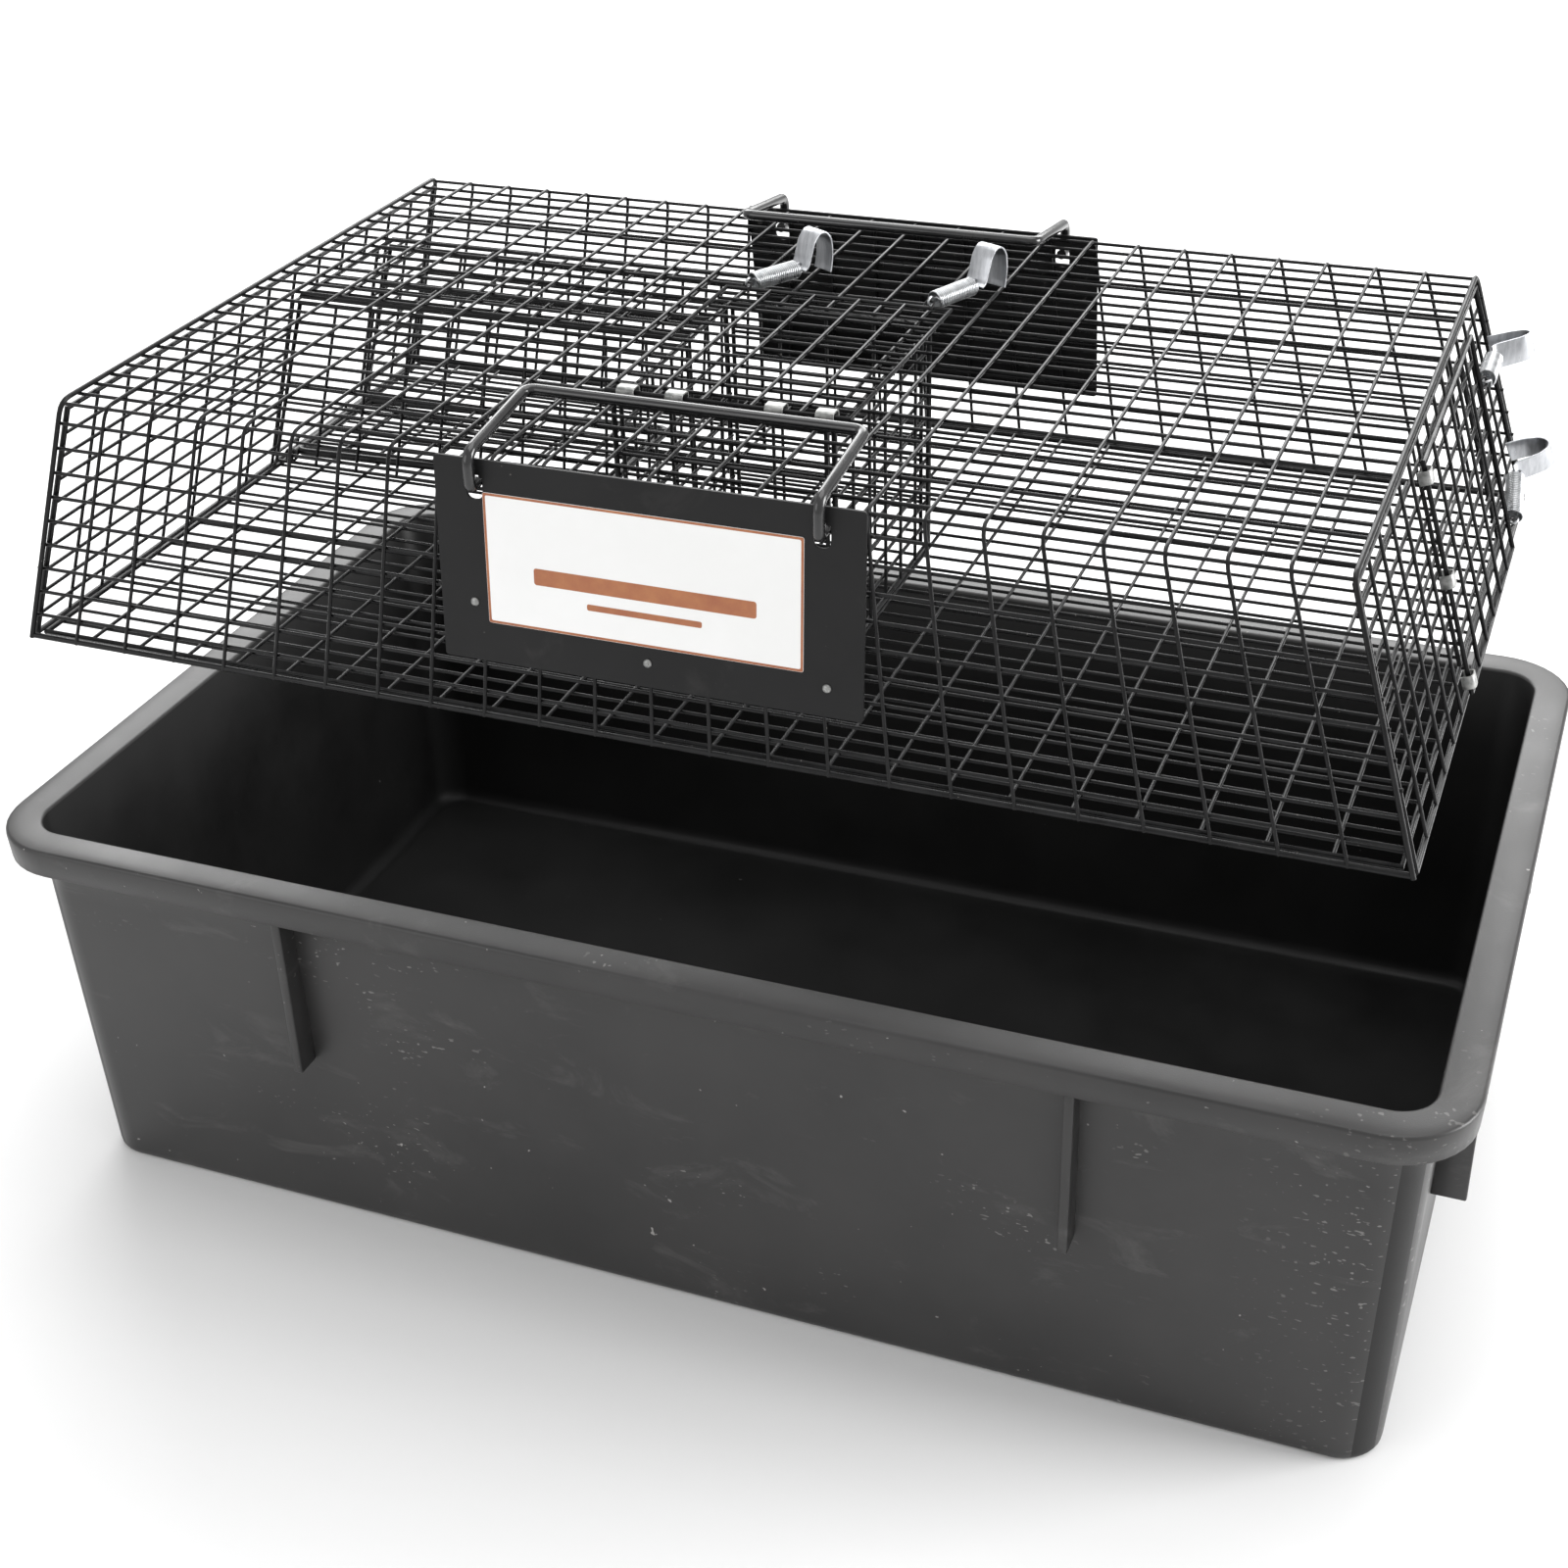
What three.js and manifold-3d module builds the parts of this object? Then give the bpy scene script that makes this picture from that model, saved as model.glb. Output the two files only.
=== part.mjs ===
// Multi-catch live trap: a welded wire cage with its own tub.
// Millimetres, +X along the length, +Y to the back, +Z up. The tub stands on z = 0 and the
// cage hangs above it. The left end (-X) holds the entrance, the right end the release door.
import * as THREE from 'three';
import { mergeVertices } from 'three/addons/utils/BufferGeometryUtils.js';
import Module from 'manifold-3d';

const wasm = await Module();
wasm.setup();

// Driving dimensions of the cage.
const INCH = 25.4;
const CELLS_LONG = 24;
const CELLS_DEEP = 14;
const ROOF_LENGTH = CELLS_LONG * INCH;
const FLOOR_LENGTH = 690;
const ROOF_FRONT = -192;
const ROOF_BACK = 184;
const FLOOR_FRONT = -202;
const FLOOR_BACK = 202;
const CAGE_HEIGHT = 129;
const WALL_ROWS = 10;
const ROOF_ROWS = 28;
const WIRE = 1.6;
const BORDER = 3;
const MESH_THICKNESS = 3.6;
const GAP = 0.4;
const SLACK = 0.1;

// Driving dimensions of the tub.
const TUB_LENGTH = 770;
const TUB_WIDTH = 460;
const TUB_HEIGHT = 220;
const RIM_OVERHANG = 17;
const RIM_DROP = 16;
const TUB_DRAFT = 6;
const TUB_WALL = 3;
const TUB_CORNER = 22;
const GUSSET = {
  width: 5,
  front: { offset: 208, reach: 14, drop: 114 },
  end: { offset: 138, reach: 17, drop: 100 },
};
const CAGE_LIFT = TUB_HEIGHT + 112;

// Doors, tunnel, bait box, plates and handles, in the cage's own frame (z = 0 at its floor).
const HATCH = { left: -50.8, right: 50.8, front: -98, back: 30 };
const TOP_DOOR = { left: -58, right: 66, front: -110, back: 42 };
const DOOR_GAP = 1;
const ENTRANCE = { front: 26, back: 124, top: 105 };
const TUNNEL_END = -72;
const RAMP = { hinge: -329, end: -130, low: 8.6, high: 13.6, front: 33, back: 117, rod: 2.3 };
const END_DOOR = { front: -48, back: 118, bottom: 6, top: 119 };
const END_HATCH = { front: -38, back: 105, bottom: 16, top: 109 };
const BAIT_BOX = { left: -57, right: 57, front: -106, back: 36 };
const PLATE = { halfWidth: 103, bottom: 31, top: 129, thickness: 1.5, slotX: 83, slotZ: 117 };
const LABEL = { left: -79, right: 75, bottom: 51, top: 114, thickness: 0.5 };
const HANDLE_ROD = 5.5;
const HANDLE_REACH = 60;
const LATCH_SPRING = { length: 30, radius: 5 };
const STRAP = { width: 13, thickness: 1 };

const blackWire = new THREE.MeshStandardMaterial({ color: 0x151515, roughness: 0.35, metalness: 0.4 });
const blackPlate = new THREE.MeshStandardMaterial({ color: 0x111111, roughness: 0.5, metalness: 0.3 });
const galvanised = new THREE.MeshStandardMaterial({ color: 0xc9cdd0, roughness: 0.3, metalness: 0.9 });
const tubPlastic = new THREE.MeshStandardMaterial({ color: 0x444444, roughness: 0.6, metalness: 0 });
const labelStock = new THREE.MeshStandardMaterial({ color: 0xf4f2ee, roughness: 0.4, metalness: 0 });

// Booleans: a closed three.js geometry becomes a manifold solid and comes back as a geometry.
function solid(geometry) {
  const bare = geometry.clone();
  bare.deleteAttribute('normal');
  bare.deleteAttribute('uv');
  const merged = mergeVertices(bare, 1e-4);
  return new wasm.Manifold(new wasm.Mesh({
    numProp: 3,
    vertProperties: new Float32Array(merged.attributes.position.array),
    triVerts: new Uint32Array(merged.index.array),
  }));
}

function geometryOf(body) {
  const mesh = body.getMesh();
  const geometry = new THREE.BufferGeometry();
  geometry.setAttribute('position', new THREE.BufferAttribute(mesh.vertProperties, 3));
  geometry.setIndex(new THREE.BufferAttribute(mesh.triVerts, 1));
  geometry.computeVertexNormals();
  return geometry;
}

function joined(bodies) {
  return bodies.reduce((sum, body) => sum.add(body));
}

function block(x0, x1, y0, y1, z0, z1) {
  const box = new THREE.BoxGeometry(x1 - x0, y1 - y0, z1 - z0);
  return solid(box.translate((x0 + x1) / 2, (y0 + y1) / 2, (z0 + z1) / 2));
}

// An outline moved in by a distance, edge by edge; the corners go round anticlockwise.
function inset(corners, distance) {
  return corners.map((corner, i) => {
    const before = corners[(i + corners.length - 1) % corners.length];
    const after = corners[(i + 1) % corners.length];
    const into = corner.clone().sub(before).normalize();
    const out = after.clone().sub(corner).normalize();
    const n = new THREE.Vector2(-into.y, into.x);
    const m = new THREE.Vector2(-out.y, out.x);
    return corner.clone().addScaledVector(n.add(m), distance / (1 + into.dot(out)));
  });
}

function plate(corners, z0, z1, holes = []) {
  const shape = new THREE.Shape(corners);
  shape.holes = holes.map((hole) => new THREE.Path(hole));
  const geometry = new THREE.ExtrudeGeometry(shape, { depth: z1 - z0, bevelEnabled: false });
  return solid(geometry.translate(0, 0, z0));
}

// A straight wire lying in the grille's own plane, between two heights.
function wireBar(from, to, width, z0, z1) {
  const along = to.clone().sub(from);
  const box = new THREE.BoxGeometry(along.length(), width, z1 - z0);
  box.rotateZ(along.angle());
  const middle = from.clone().add(to).multiplyScalar(0.5);
  return solid(box.translate(middle.x, middle.y, (z0 + z1) / 2));
}

// A flat welded grille whose outer face fills the quadrilateral a, b, c, d. Its wires fan evenly
// from edge to edge: the first set runs from ab to dc on the outer layer, the second set from ad
// to bc on the inner layer, and a border joins them. A window leaves a bordered opening.
function grille([a, b, c, d], across, down, window = null) {
  const ux = b.clone().sub(a).normalize();
  const normal = ux.clone().cross(d.clone().sub(a)).normalize();
  const uy = normal.clone().cross(ux);
  const flat = (p) => new THREE.Vector2(p.clone().sub(a).dot(ux), p.clone().sub(a).dot(uy));
  const outer = [a, b, c, d].map(flat);
  const middle = inset(outer, BORDER / 2);
  const at = (u, v) => {
    const low = middle[0].clone().lerp(middle[1], u);
    return low.lerp(middle[3].clone().lerp(middle[2], u), v);
  };
  const pieces = [plate(outer, -MESH_THICKNESS, 0, [inset(outer, BORDER)])];
  const half = MESH_THICKNESS / 2;
  const outerLayer = [SLACK - half, -SLACK];
  const innerLayer = [SLACK - MESH_THICKNESS, -half - SLACK];
  function wires(count, gate, stop, layer, place2d) {
    for (let i = 1; i < count; i++) {
      const share = i / count;
      const cut = window && share > gate[0] && share < gate[1];
      const spans = cut ? [[0, stop[0]], [stop[1], 1]] : [[0, 1]];
      spans.forEach(([s, e]) => {
        pieces.push(wireBar(place2d(share, s), place2d(share, e), WIRE, ...layer));
      });
    }
  }
  const { u, v } = window || { u: [0, 0], v: [0, 0] };
  wires(across, u, v, outerLayer, (share, t) => at(share, t));
  wires(down, v, u, innerLayer, (share, t) => at(t, share));
  if (window) {
    const ring = [at(u[0], v[0]), at(u[1], v[0]), at(u[1], v[1]), at(u[0], v[1])];
    pieces.push(plate(inset(ring, -BORDER / 2), -MESH_THICKNESS, 0, [inset(ring, BORDER / 2)]));
  }
  const placed = geometryOf(joined(pieces));
  return placed.applyMatrix4(new THREE.Matrix4().makeBasis(ux, uy, normal).setPosition(a));
}

const point = (x, y, z) => new THREE.Vector3(x, y, z);
const group = new THREE.Group();
const cage = new THREE.Group();
cage.position.z = CAGE_LIFT;
group.add(cage);

function place(name, body, material, parent = cage) {
  const geometry = body.isBufferGeometry ? body : geometryOf(body);
  const mesh = new THREE.Mesh(geometry, material);
  mesh.name = name;
  parent.add(mesh);
}

// How far the walls have moved out at a height above the cage floor.
const halfLength = (z) => FLOOR_LENGTH / 2 - (FLOOR_LENGTH - ROOF_LENGTH) / 2 * z / CAGE_HEIGHT;
const frontY = (z) => FLOOR_FRONT + (ROOF_FRONT - FLOOR_FRONT) * z / CAGE_HEIGHT;
const backY = (z) => FLOOR_BACK + (ROOF_BACK - FLOOR_BACK) * z / CAGE_HEIGHT;
const WALL_TOP = CAGE_HEIGHT - MESH_THICKNESS - GAP;
const SKIN = MESH_THICKNESS + GAP + 0.1;

// Roof: four panels round the hatch that the top door covers.
{
  const x = ROOF_LENGTH / 2;
  const z = CAGE_HEIGHT;
  const half = BORDER / 2;
  const left = HATCH.left + half;
  const right = HATCH.right - half;
  const panel = (name, x0, x1, y0, y1, across, down) => {
    const corners = [point(x0, y0, z), point(x1, y0, z), point(x1, y1, z), point(x0, y1, z)];
    place(name, grille(corners, across, down), blackWire);
  };
  panel('roof_left_mesh', -x, left, ROOF_FRONT, ROOF_BACK, 10, ROOF_ROWS);
  panel('roof_right_mesh', right, x, ROOF_FRONT, ROOF_BACK, 10, ROOF_ROWS);
  panel('roof_front_mesh', left + GAP, right - GAP, ROOF_FRONT, HATCH.front + half, 4, 7);
  panel('roof_back_mesh', left + GAP, right - GAP, HATCH.back - half, ROOF_BACK, 4, 12);
}

// Front and back walls: full-length trapezoids that lean out towards the floor.
function longWall(name, side) {
  const edge = (z) => (side < 0 ? frontY(z) : backY(z));
  const corner = (sign, z) => point(sign * halfLength(z), edge(z), z);
  const low = [corner(side, 0), corner(-side, 0)];
  const high = [corner(-side, WALL_TOP), corner(side, WALL_TOP)];
  place(name, grille([...low, ...high], CELLS_LONG, WALL_ROWS), blackWire);
}
longWall('front_mesh', -1);
longWall('back_mesh', 1);

// End walls sit between the front and back walls and lean out too.
function endCorners(side) {
  const front = (z) => point(side * halfLength(z), frontY(z) + SKIN, z);
  const back = (z) => point(side * halfLength(z), backY(z) - SKIN, z);
  const [near, far] = side < 0 ? [back, front] : [front, back];
  return [near(0), far(0), far(WALL_TOP), near(WALL_TOP)];
}
function endWindow(side, opening) {
  const y = (value, z) => {
    const lo = frontY(z) + SKIN;
    const hi = backY(z) - SKIN;
    const u = (value - lo) / (hi - lo);
    return side < 0 ? 1 - u : u;
  };
  const mid = (opening.bottom + opening.top) / 2;
  const u = [y(opening.front, mid), y(opening.back, mid)].sort((p, q) => p - q);
  return { u, v: [opening.bottom / WALL_TOP, opening.top / WALL_TOP] };
}
{
  const mouth = { ...ENTRANCE, bottom: 2 * BORDER };
  const left = grille(endCorners(-1), CELLS_DEEP, WALL_ROWS, endWindow(-1, mouth));
  const right = grille(endCorners(1), CELLS_DEEP, WALL_ROWS, endWindow(1, END_HATCH));
  place('left_end_mesh', left, blackWire);
  place('right_end_mesh', right, blackWire);
}

// Floor, inside the foot of the walls.
{
  const x = halfLength(MESH_THICKNESS) - SKIN - 1;
  const y0 = frontY(MESH_THICKNESS) + SKIN;
  const y1 = backY(MESH_THICKNESS) - SKIN;
  const z = MESH_THICKNESS;
  place('floor_mesh', grille(
    [point(-x, y0, z), point(x, y0, z), point(x, y1, z), point(-x, y1, z)],
    CELLS_LONG, ROOF_ROWS), blackWire);
}

// Bait box under the hatch: four grilles from the floor to the roof.
const STOREY = { low: MESH_THICKNESS + GAP, high: CAGE_HEIGHT - MESH_THICKNESS - GAP };
function upright(name, from, to, low, high, across, down, leanFrom = 0, leanTo = 0) {
  place(name, grille([
    point(from[0], from[1], low), point(to[0], to[1], low),
    point(to[0] + leanTo, to[1], high), point(from[0] + leanFrom, from[1], high),
  ], across, down), blackWire);
}
{
  const { left, right, front, back } = BAIT_BOX;
  const inner = MESH_THICKNESS + GAP;
  const { low, high } = STOREY;
  upright('bait_box_left', [left, back], [left, front], low, high, 6, WALL_ROWS);
  upright('bait_box_right', [right, front], [right, back], low, high, 6, WALL_ROWS);
  upright('bait_box_front', [left + inner, front], [right - inner, front], low, high, 4, WALL_ROWS);
  upright('bait_box_back', [right - inner, back], [left + inner, back], low, high, 4, WALL_ROWS);
}

// Entrance tunnel: two walls and a roof, open at the entrance and at its inner end.
{
  const skin = SKIN + 0.3;
  const left = -(halfLength(STOREY.low) - skin);
  const lean = -left - (halfLength(ENTRANCE.top) - skin);
  const front = ENTRANCE.front - MESH_THICKNESS;
  const back = ENTRANCE.back + MESH_THICKNESS;
  const top = ENTRANCE.top;
  upright('tunnel_wall_back', [TUNNEL_END, back], [left, back], STOREY.low, top, 10, 8, 0, lean);
  upright('tunnel_wall_front', [left, front], [TUNNEL_END, front], STOREY.low, top, 10, 8, lean, 0);
  const z = top + GAP + MESH_THICKNESS;
  const x = -(halfLength(z) - skin);
  place('tunnel_roof', grille([
    point(x, front, z), point(TUNNEL_END, front, z), point(TUNNEL_END, back, z), point(x, back, z),
  ], 10, 8), blackWire);
}

// A bent rod: straight round bars with a ball at each bend.
function rod(points, radius, sides = 8) {
  const pieces = [];
  points.slice(1).forEach((end, i) => {
    const start = points[i];
    const along = end.clone().sub(start);
    const bar = new THREE.CylinderGeometry(radius, radius, along.length(), sides);
    const turn = new THREE.Quaternion().setFromUnitVectors(point(0, 1, 0), along.clone().normalize());
    bar.applyQuaternion(turn);
    const middle = start.clone().add(end).multiplyScalar(0.5);
    pieces.push(solid(bar.translate(middle.x, middle.y, middle.z)));
    if (i > 0) {
      const ball = new THREE.SphereGeometry(radius * 1.04, sides, sides / 2);
      pieces.push(solid(ball.translate(start.x, start.y, start.z)));
    }
  });
  return joined(pieces);
}

// Entrance ramp: a heavy rod frame with a mesh tread, turning on a rod just inside the entrance.
{
  const slope = (RAMP.high - RAMP.low) / (RAMP.end - RAMP.hinge);
  const at = (x, y, rise = 0) => point(x, y, RAMP.low + (x - RAMP.hinge) * slope + rise);
  const ring = [
    at(RAMP.hinge, RAMP.front), at(RAMP.end, RAMP.front),
    at(RAMP.end, RAMP.back), at(RAMP.hinge, RAMP.back),
  ];
  const pivot = [at(RAMP.hinge, ENTRANCE.front + 0.6), at(RAMP.hinge, ENTRANCE.back - 0.6)];
  place('ramp_frame', joined([
    rod([...ring, ring[0], ring[1]], RAMP.rod, 6),
    rod(pivot, RAMP.rod - 0.1, 6),
  ]), blackWire);
  const inside = RAMP.rod + GAP;
  const x = [RAMP.hinge + inside, RAMP.end - inside];
  const y = [RAMP.front + inside, RAMP.back - inside];
  const top = MESH_THICKNESS / 2;
  place('ramp_mesh', grille(
    [at(x[0], y[0], top), at(x[1], y[0], top), at(x[1], y[1], top), at(x[0], y[1], top)],
    8, 6), blackWire);
  [['front', ENTRANCE.front + 1.4], ['back', ENTRANCE.back - 1.4]].forEach(([end, eyeY]) => {
    const eye = new THREE.LatheGeometry([
      new THREE.Vector2(RAMP.rod + 0.4, -1), new THREE.Vector2(RAMP.rod + 2, -1),
      new THREE.Vector2(RAMP.rod + 2, 1), new THREE.Vector2(RAMP.rod + 0.4, 1),
      new THREE.Vector2(RAMP.rod + 0.4, -1),
    ], 12);
    place('ramp_eye_' + end, solid(eye.translate(RAMP.hinge, eyeY, RAMP.low)), blackWire);
  });
}

// A frame on a surface: its X runs along a hinge line, Y away from the door, Z out of the surface.
const endLean = Math.atan2((FLOOR_LENGTH - ROOF_LENGTH) / 2, CAGE_HEIGHT);
const outward = point(Math.cos(endLean), 0, Math.sin(endLean));
function onRoof(x, y) {
  return new THREE.Matrix4().setPosition(point(x, y, CAGE_HEIGHT));
}
function onEnd(y, z) {
  const down = point(0, 1, 0).cross(outward);
  const frame = new THREE.Matrix4().makeBasis(down, point(0, 1, 0), outward);
  return frame.setPosition(point(halfLength(z), y, z));
}
function placeAt(name, body, matrix, material) {
  place(name, geometryOf(body).applyMatrix4(matrix), material);
}

// Doors lie on the outside of their openings, clear of the mesh by the door gap.
const DOOR_TOP = DOOR_GAP + MESH_THICKNESS;
{
  const { left, right, front, back } = TOP_DOOR;
  const z = CAGE_HEIGHT + DOOR_TOP;
  place('top_door', grille([
    point(left, front, z), point(right, front, z), point(right, back, z), point(left, back, z),
  ], 5, 12), blackWire);
}
{
  const { front, back, bottom, top } = END_DOOR;
  const corner = (y, z) => point(halfLength(z), y, z).addScaledVector(outward, DOOR_TOP);
  place('end_door', grille([
    corner(front, bottom), corner(back, bottom), corner(back, top), corner(front, top),
  ], 6, 9), blackWire);
}

// Hinge clips: steel staples bent over the hinge wire of a door.
const CLIP = { width: 9, reach: 4.1, height: 6.6, thickness: 0.8 };
function clip() {
  const { width, reach, height, thickness } = CLIP;
  const outer = block(-width / 2, width / 2, -reach, reach, GAP, height);
  const inner = block(-width, width, thickness - reach, reach - thickness, 0, height - thickness);
  return outer.subtract(inner);
}
const HINGE_Y = BORDER / 2;
[-45.6, -20.8, 28.8, 53.6].forEach((x, i) => {
  placeAt('top_door_clip_' + (i + 1), clip(), onRoof(x, TOP_DOOR.front + HINGE_Y), galvanised);
});
[111.2, 62.4, 13.6].forEach((z, i) => {
  placeAt('end_door_clip_' + (i + 1), clip(), onEnd(END_DOOR.front + HINGE_Y, z), galvanised);
});

// Latches: a close-coiled spring turns on the free edge of the door and pulls a sheet strap
// that rises steeply, curls over and drops behind a wire of the cage.
function latchSpring() {
  const { length, radius } = LATCH_SPRING;
  const height = radius + DOOR_GAP;
  const coil = new THREE.CylinderGeometry(radius, radius, length, 12);
  const body = solid(coil.translate(0, length / 2 + 3, height));
  const hook = block(-1, 1, 1, 4, DOOR_TOP + GAP, DOOR_TOP + GAP + 2);
  return body.add(hook);
}
function latchStrap() {
  const { width, thickness } = STRAP;
  const start = LATCH_SPRING.length + 3 + GAP;
  const at = (y, height) => new THREE.Vector2(start + y, height);
  const middle = new THREE.SplineCurve([
    at(0, 6), at(2.4, 7.5), at(5, 14), at(8, 21), at(12.5, 24), at(17, 21.5), at(19, 14),
    at(18.5, 6), at(17.6, 1.6),
  ]);
  const steps = 18;
  const side = (sign) => Array.from({ length: steps + 1 }, (_, i) => {
    const along = middle.getTangent(i / steps);
    const p = middle.getPoint(i / steps);
    return p.add(new THREE.Vector2(-along.y, along.x).multiplyScalar(sign * thickness / 2));
  });
  const profile = new THREE.Shape([...side(1), ...side(-1).reverse()]);
  const sheet = new THREE.ExtrudeGeometry(profile, { depth: width, bevelEnabled: false });
  sheet.applyMatrix4(new THREE.Matrix4().makeBasis(point(0, 1, 0), point(0, 0, 1), point(1, 0, 0)));
  return solid(sheet.translate(-width / 2, 0, 0));
}
const swung = (matrix, degrees) => {
  return matrix.multiply(new THREE.Matrix4().makeRotationZ(THREE.MathUtils.degToRad(degrees)));
};
const LATCHES = [
  ['top_latch_left', swung(onRoof(-46, TOP_DOOR.back), -30)],
  ['top_latch_right', swung(onRoof(53, TOP_DOOR.back), -24)],
  ['end_latch_upper', onEnd(END_DOOR.back, 94)],
  ['end_latch_lower', swung(onEnd(END_DOOR.back, 20), 24)],
];
LATCHES.forEach(([name, matrix]) => {
  placeAt(name + '_spring', latchSpring(), matrix, galvanised);
  placeAt(name + '_strap', latchStrap(), matrix, galvanised);
});

// Sheet plates on the front and back walls; the frame is turned half round for the back one.
function wallFrame(side) {
  const foot = side < 0 ? frontY(0) : backY(0);
  const head = side < 0 ? frontY(CAGE_HEIGHT) : backY(CAGE_HEIGHT);
  const up = point(0, head - foot, CAGE_HEIGHT).normalize();
  const along = point(-side, 0, 0);
  const out = along.clone().cross(up);
  return new THREE.Matrix4().makeBasis(along, up, out).setPosition(point(0, foot, 0));
}
function roundedPanel(x0, x1, y0, y1, radius) {
  const shape = new THREE.Shape();
  shape.moveTo(x0 + radius, y0);
  shape.absarc(x1 - radius, y0 + radius, radius, -Math.PI / 2, 0);
  shape.absarc(x1 - radius, y1 - radius, radius, 0, Math.PI / 2);
  shape.absarc(x0 + radius, y1 - radius, radius, Math.PI / 2, Math.PI);
  shape.absarc(x0 + radius, y0 + radius, radius, Math.PI, 1.5 * Math.PI);
  return shape;
}
function sheet(shape, offset, thickness) {
  const options = { depth: thickness, bevelEnabled: false, curveSegments: 4 };
  const geometry = new THREE.ExtrudeGeometry(shape, options);
  return solid(geometry.translate(0, 0, offset));
}
const PLATE_FACE = GAP + PLATE.thickness;
[['front', -1], ['back', 1]].forEach(([name, side]) => {
  const matrix = wallFrame(side);
  const shape = roundedPanel(-PLATE.halfWidth, PLATE.halfWidth, PLATE.bottom, PLATE.top, 5);
  [-1, 1].forEach((hand) => {
    const x = hand * PLATE.slotX;
    shape.holes.push(roundedPanel(x - 4, x + 4, PLATE.slotZ - 7, PLATE.slotZ + 5, 3.5));
  });
  placeAt(name + '_plate', sheet(shape, GAP, PLATE.thickness), matrix, blackPlate);
  [[-86, 60], [0, 43], [86, 45]].forEach(([x, z], i) => {
    const head = new THREE.LatheGeometry([
      new THREE.Vector2(0, 0), new THREE.Vector2(3, 0),
      new THREE.Vector2(2.2, 1), new THREE.Vector2(0, 1.5),
    ], 8);
    const rivet = solid(head.rotateX(Math.PI / 2)).translate([x, z, PLATE_FACE + GAP]);
    placeAt(name + '_plate_rivet_' + (i + 1), rivet, matrix, galvanised);
  });
});
{
  const shape = roundedPanel(LABEL.left, LABEL.right, LABEL.bottom, LABEL.top, 1);
  placeAt('front_label', sheet(shape, PLATE_FACE + GAP, LABEL.thickness), wallFrame(-1), labelStock);
}

// Carrying handles: bent rods that turn in front of the plate slots and fold in over the roof.
[['front', -1], ['back', 1]].forEach(([name, side]) => {
  const radius = HANDLE_ROD / 2;
  const edge = side < 0 ? frontY(PLATE.slotZ) : backY(PLATE.slotZ);
  const y = edge + side * (PLATE_FACE + GAP + radius + 0.4);
  const rise = CAGE_HEIGHT + radius + 1.2;
  const cross = [y - side * HANDLE_REACH, CAGE_HEIGHT + 12];
  const leg = (hand) => [
    point(hand * (PLATE.slotX - 9), y, PLATE.slotZ),
    point(hand * PLATE.slotX, y, PLATE.slotZ),
    point(hand * PLATE.slotX, y, rise),
    point(hand * PLATE.slotX, ...cross),
  ];
  place(name + '_handle', rod([...leg(-1), ...leg(1).reverse()], radius), blackWire);
});

// Tub: one moulding with a rolled rim, drafted walls and gussets under the rim.
function roundedBox(length, width, radius, z, topLength, topWidth, topRadius, topZ) {
  const outline = (l, w, r) => roundedPanel(-l / 2, l / 2, -w / 2, w / 2, r).getPoints(6).slice(0, -1);
  const low = outline(length, width, radius);
  const high = outline(topLength, topWidth, topRadius);
  const n = low.length;
  const positions = [];
  low.forEach((p) => positions.push(p.x, p.y, z));
  high.forEach((p) => positions.push(p.x, p.y, topZ));
  positions.push(0, 0, z, 0, 0, topZ);
  const index = [];
  for (let i = 0; i < n; i++) {
    const j = (i + 1) % n;
    index.push(i, j, n + j, i, n + j, n + i);
    index.push(j, i, 2 * n, n + i, n + j, 2 * n + 1);
  }
  const geometry = new THREE.BufferGeometry();
  geometry.setAttribute('position', new THREE.Float32BufferAttribute(positions, 3));
  geometry.setIndex(index);
  return solid(geometry);
}
{
  const bodyLength = TUB_LENGTH - 2 * RIM_OVERHANG;
  const bodyWidth = TUB_WIDTH - 2 * RIM_OVERHANG;
  const footLength = bodyLength - 2 * TUB_DRAFT;
  const footWidth = bodyWidth - 2 * TUB_DRAFT;
  const t = TUB_WALL;
  const rimLow = TUB_HEIGHT - RIM_DROP;
  const shell = joined([
    roundedBox(footLength, footWidth, TUB_CORNER, 0, bodyLength, bodyWidth, TUB_CORNER, TUB_HEIGHT - 1),
    roundedBox(TUB_LENGTH - 2, TUB_WIDTH - 2, 40, rimLow, TUB_LENGTH, TUB_WIDTH, 41, TUB_HEIGHT),
  ]);
  const under = roundedBox(TUB_LENGTH - 2 * t, TUB_WIDTH - 2 * t, 38, rimLow - 1,
    TUB_LENGTH - 2 * t, TUB_WIDTH - 2 * t, 38, TUB_HEIGHT - t);
  const collar = roundedBox(footLength, footWidth, TUB_CORNER, 0,
    bodyLength, bodyWidth, TUB_CORNER, TUB_HEIGHT - 0.5);
  const inside = roundedBox(footLength - 2 * t, footWidth - 2 * t, TUB_CORNER - t, t,
    bodyLength - 2 * t, bodyWidth - 2 * t, TUB_CORNER - t, TUB_HEIGHT + 0.2);
  const gusset = (x, y, drop) => {
    const [x0, x1] = x.sort((p, q) => p - q);
    const [y0, y1] = y.sort((p, q) => p - q);
    return block(x0, x1, y0, y1, TUB_HEIGHT - drop, TUB_HEIGHT - t);
  };
  const gussets = [];
  [-1, 1].forEach((side) => {
    [-1, 1].forEach((hand) => {
      const { width, front, end } = GUSSET;
      const wallY = side * (bodyWidth / 2 - 3);
      const x = hand * front.offset;
      gussets.push(gusset([x - width / 2, x + width / 2],
        [wallY, wallY + side * front.reach], front.drop));
      const wallX = side * (bodyLength / 2 - 3);
      const y = hand * end.offset;
      gussets.push(gusset([wallX, wallX + side * end.reach],
        [y - width / 2, y + width / 2], end.drop));
    });
  });
  const rimmed = shell.subtract(under.subtract(collar));
  place('tub', joined([rimmed, ...gussets]).subtract(inside), tubPlastic, group);
}

export default group;
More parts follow.
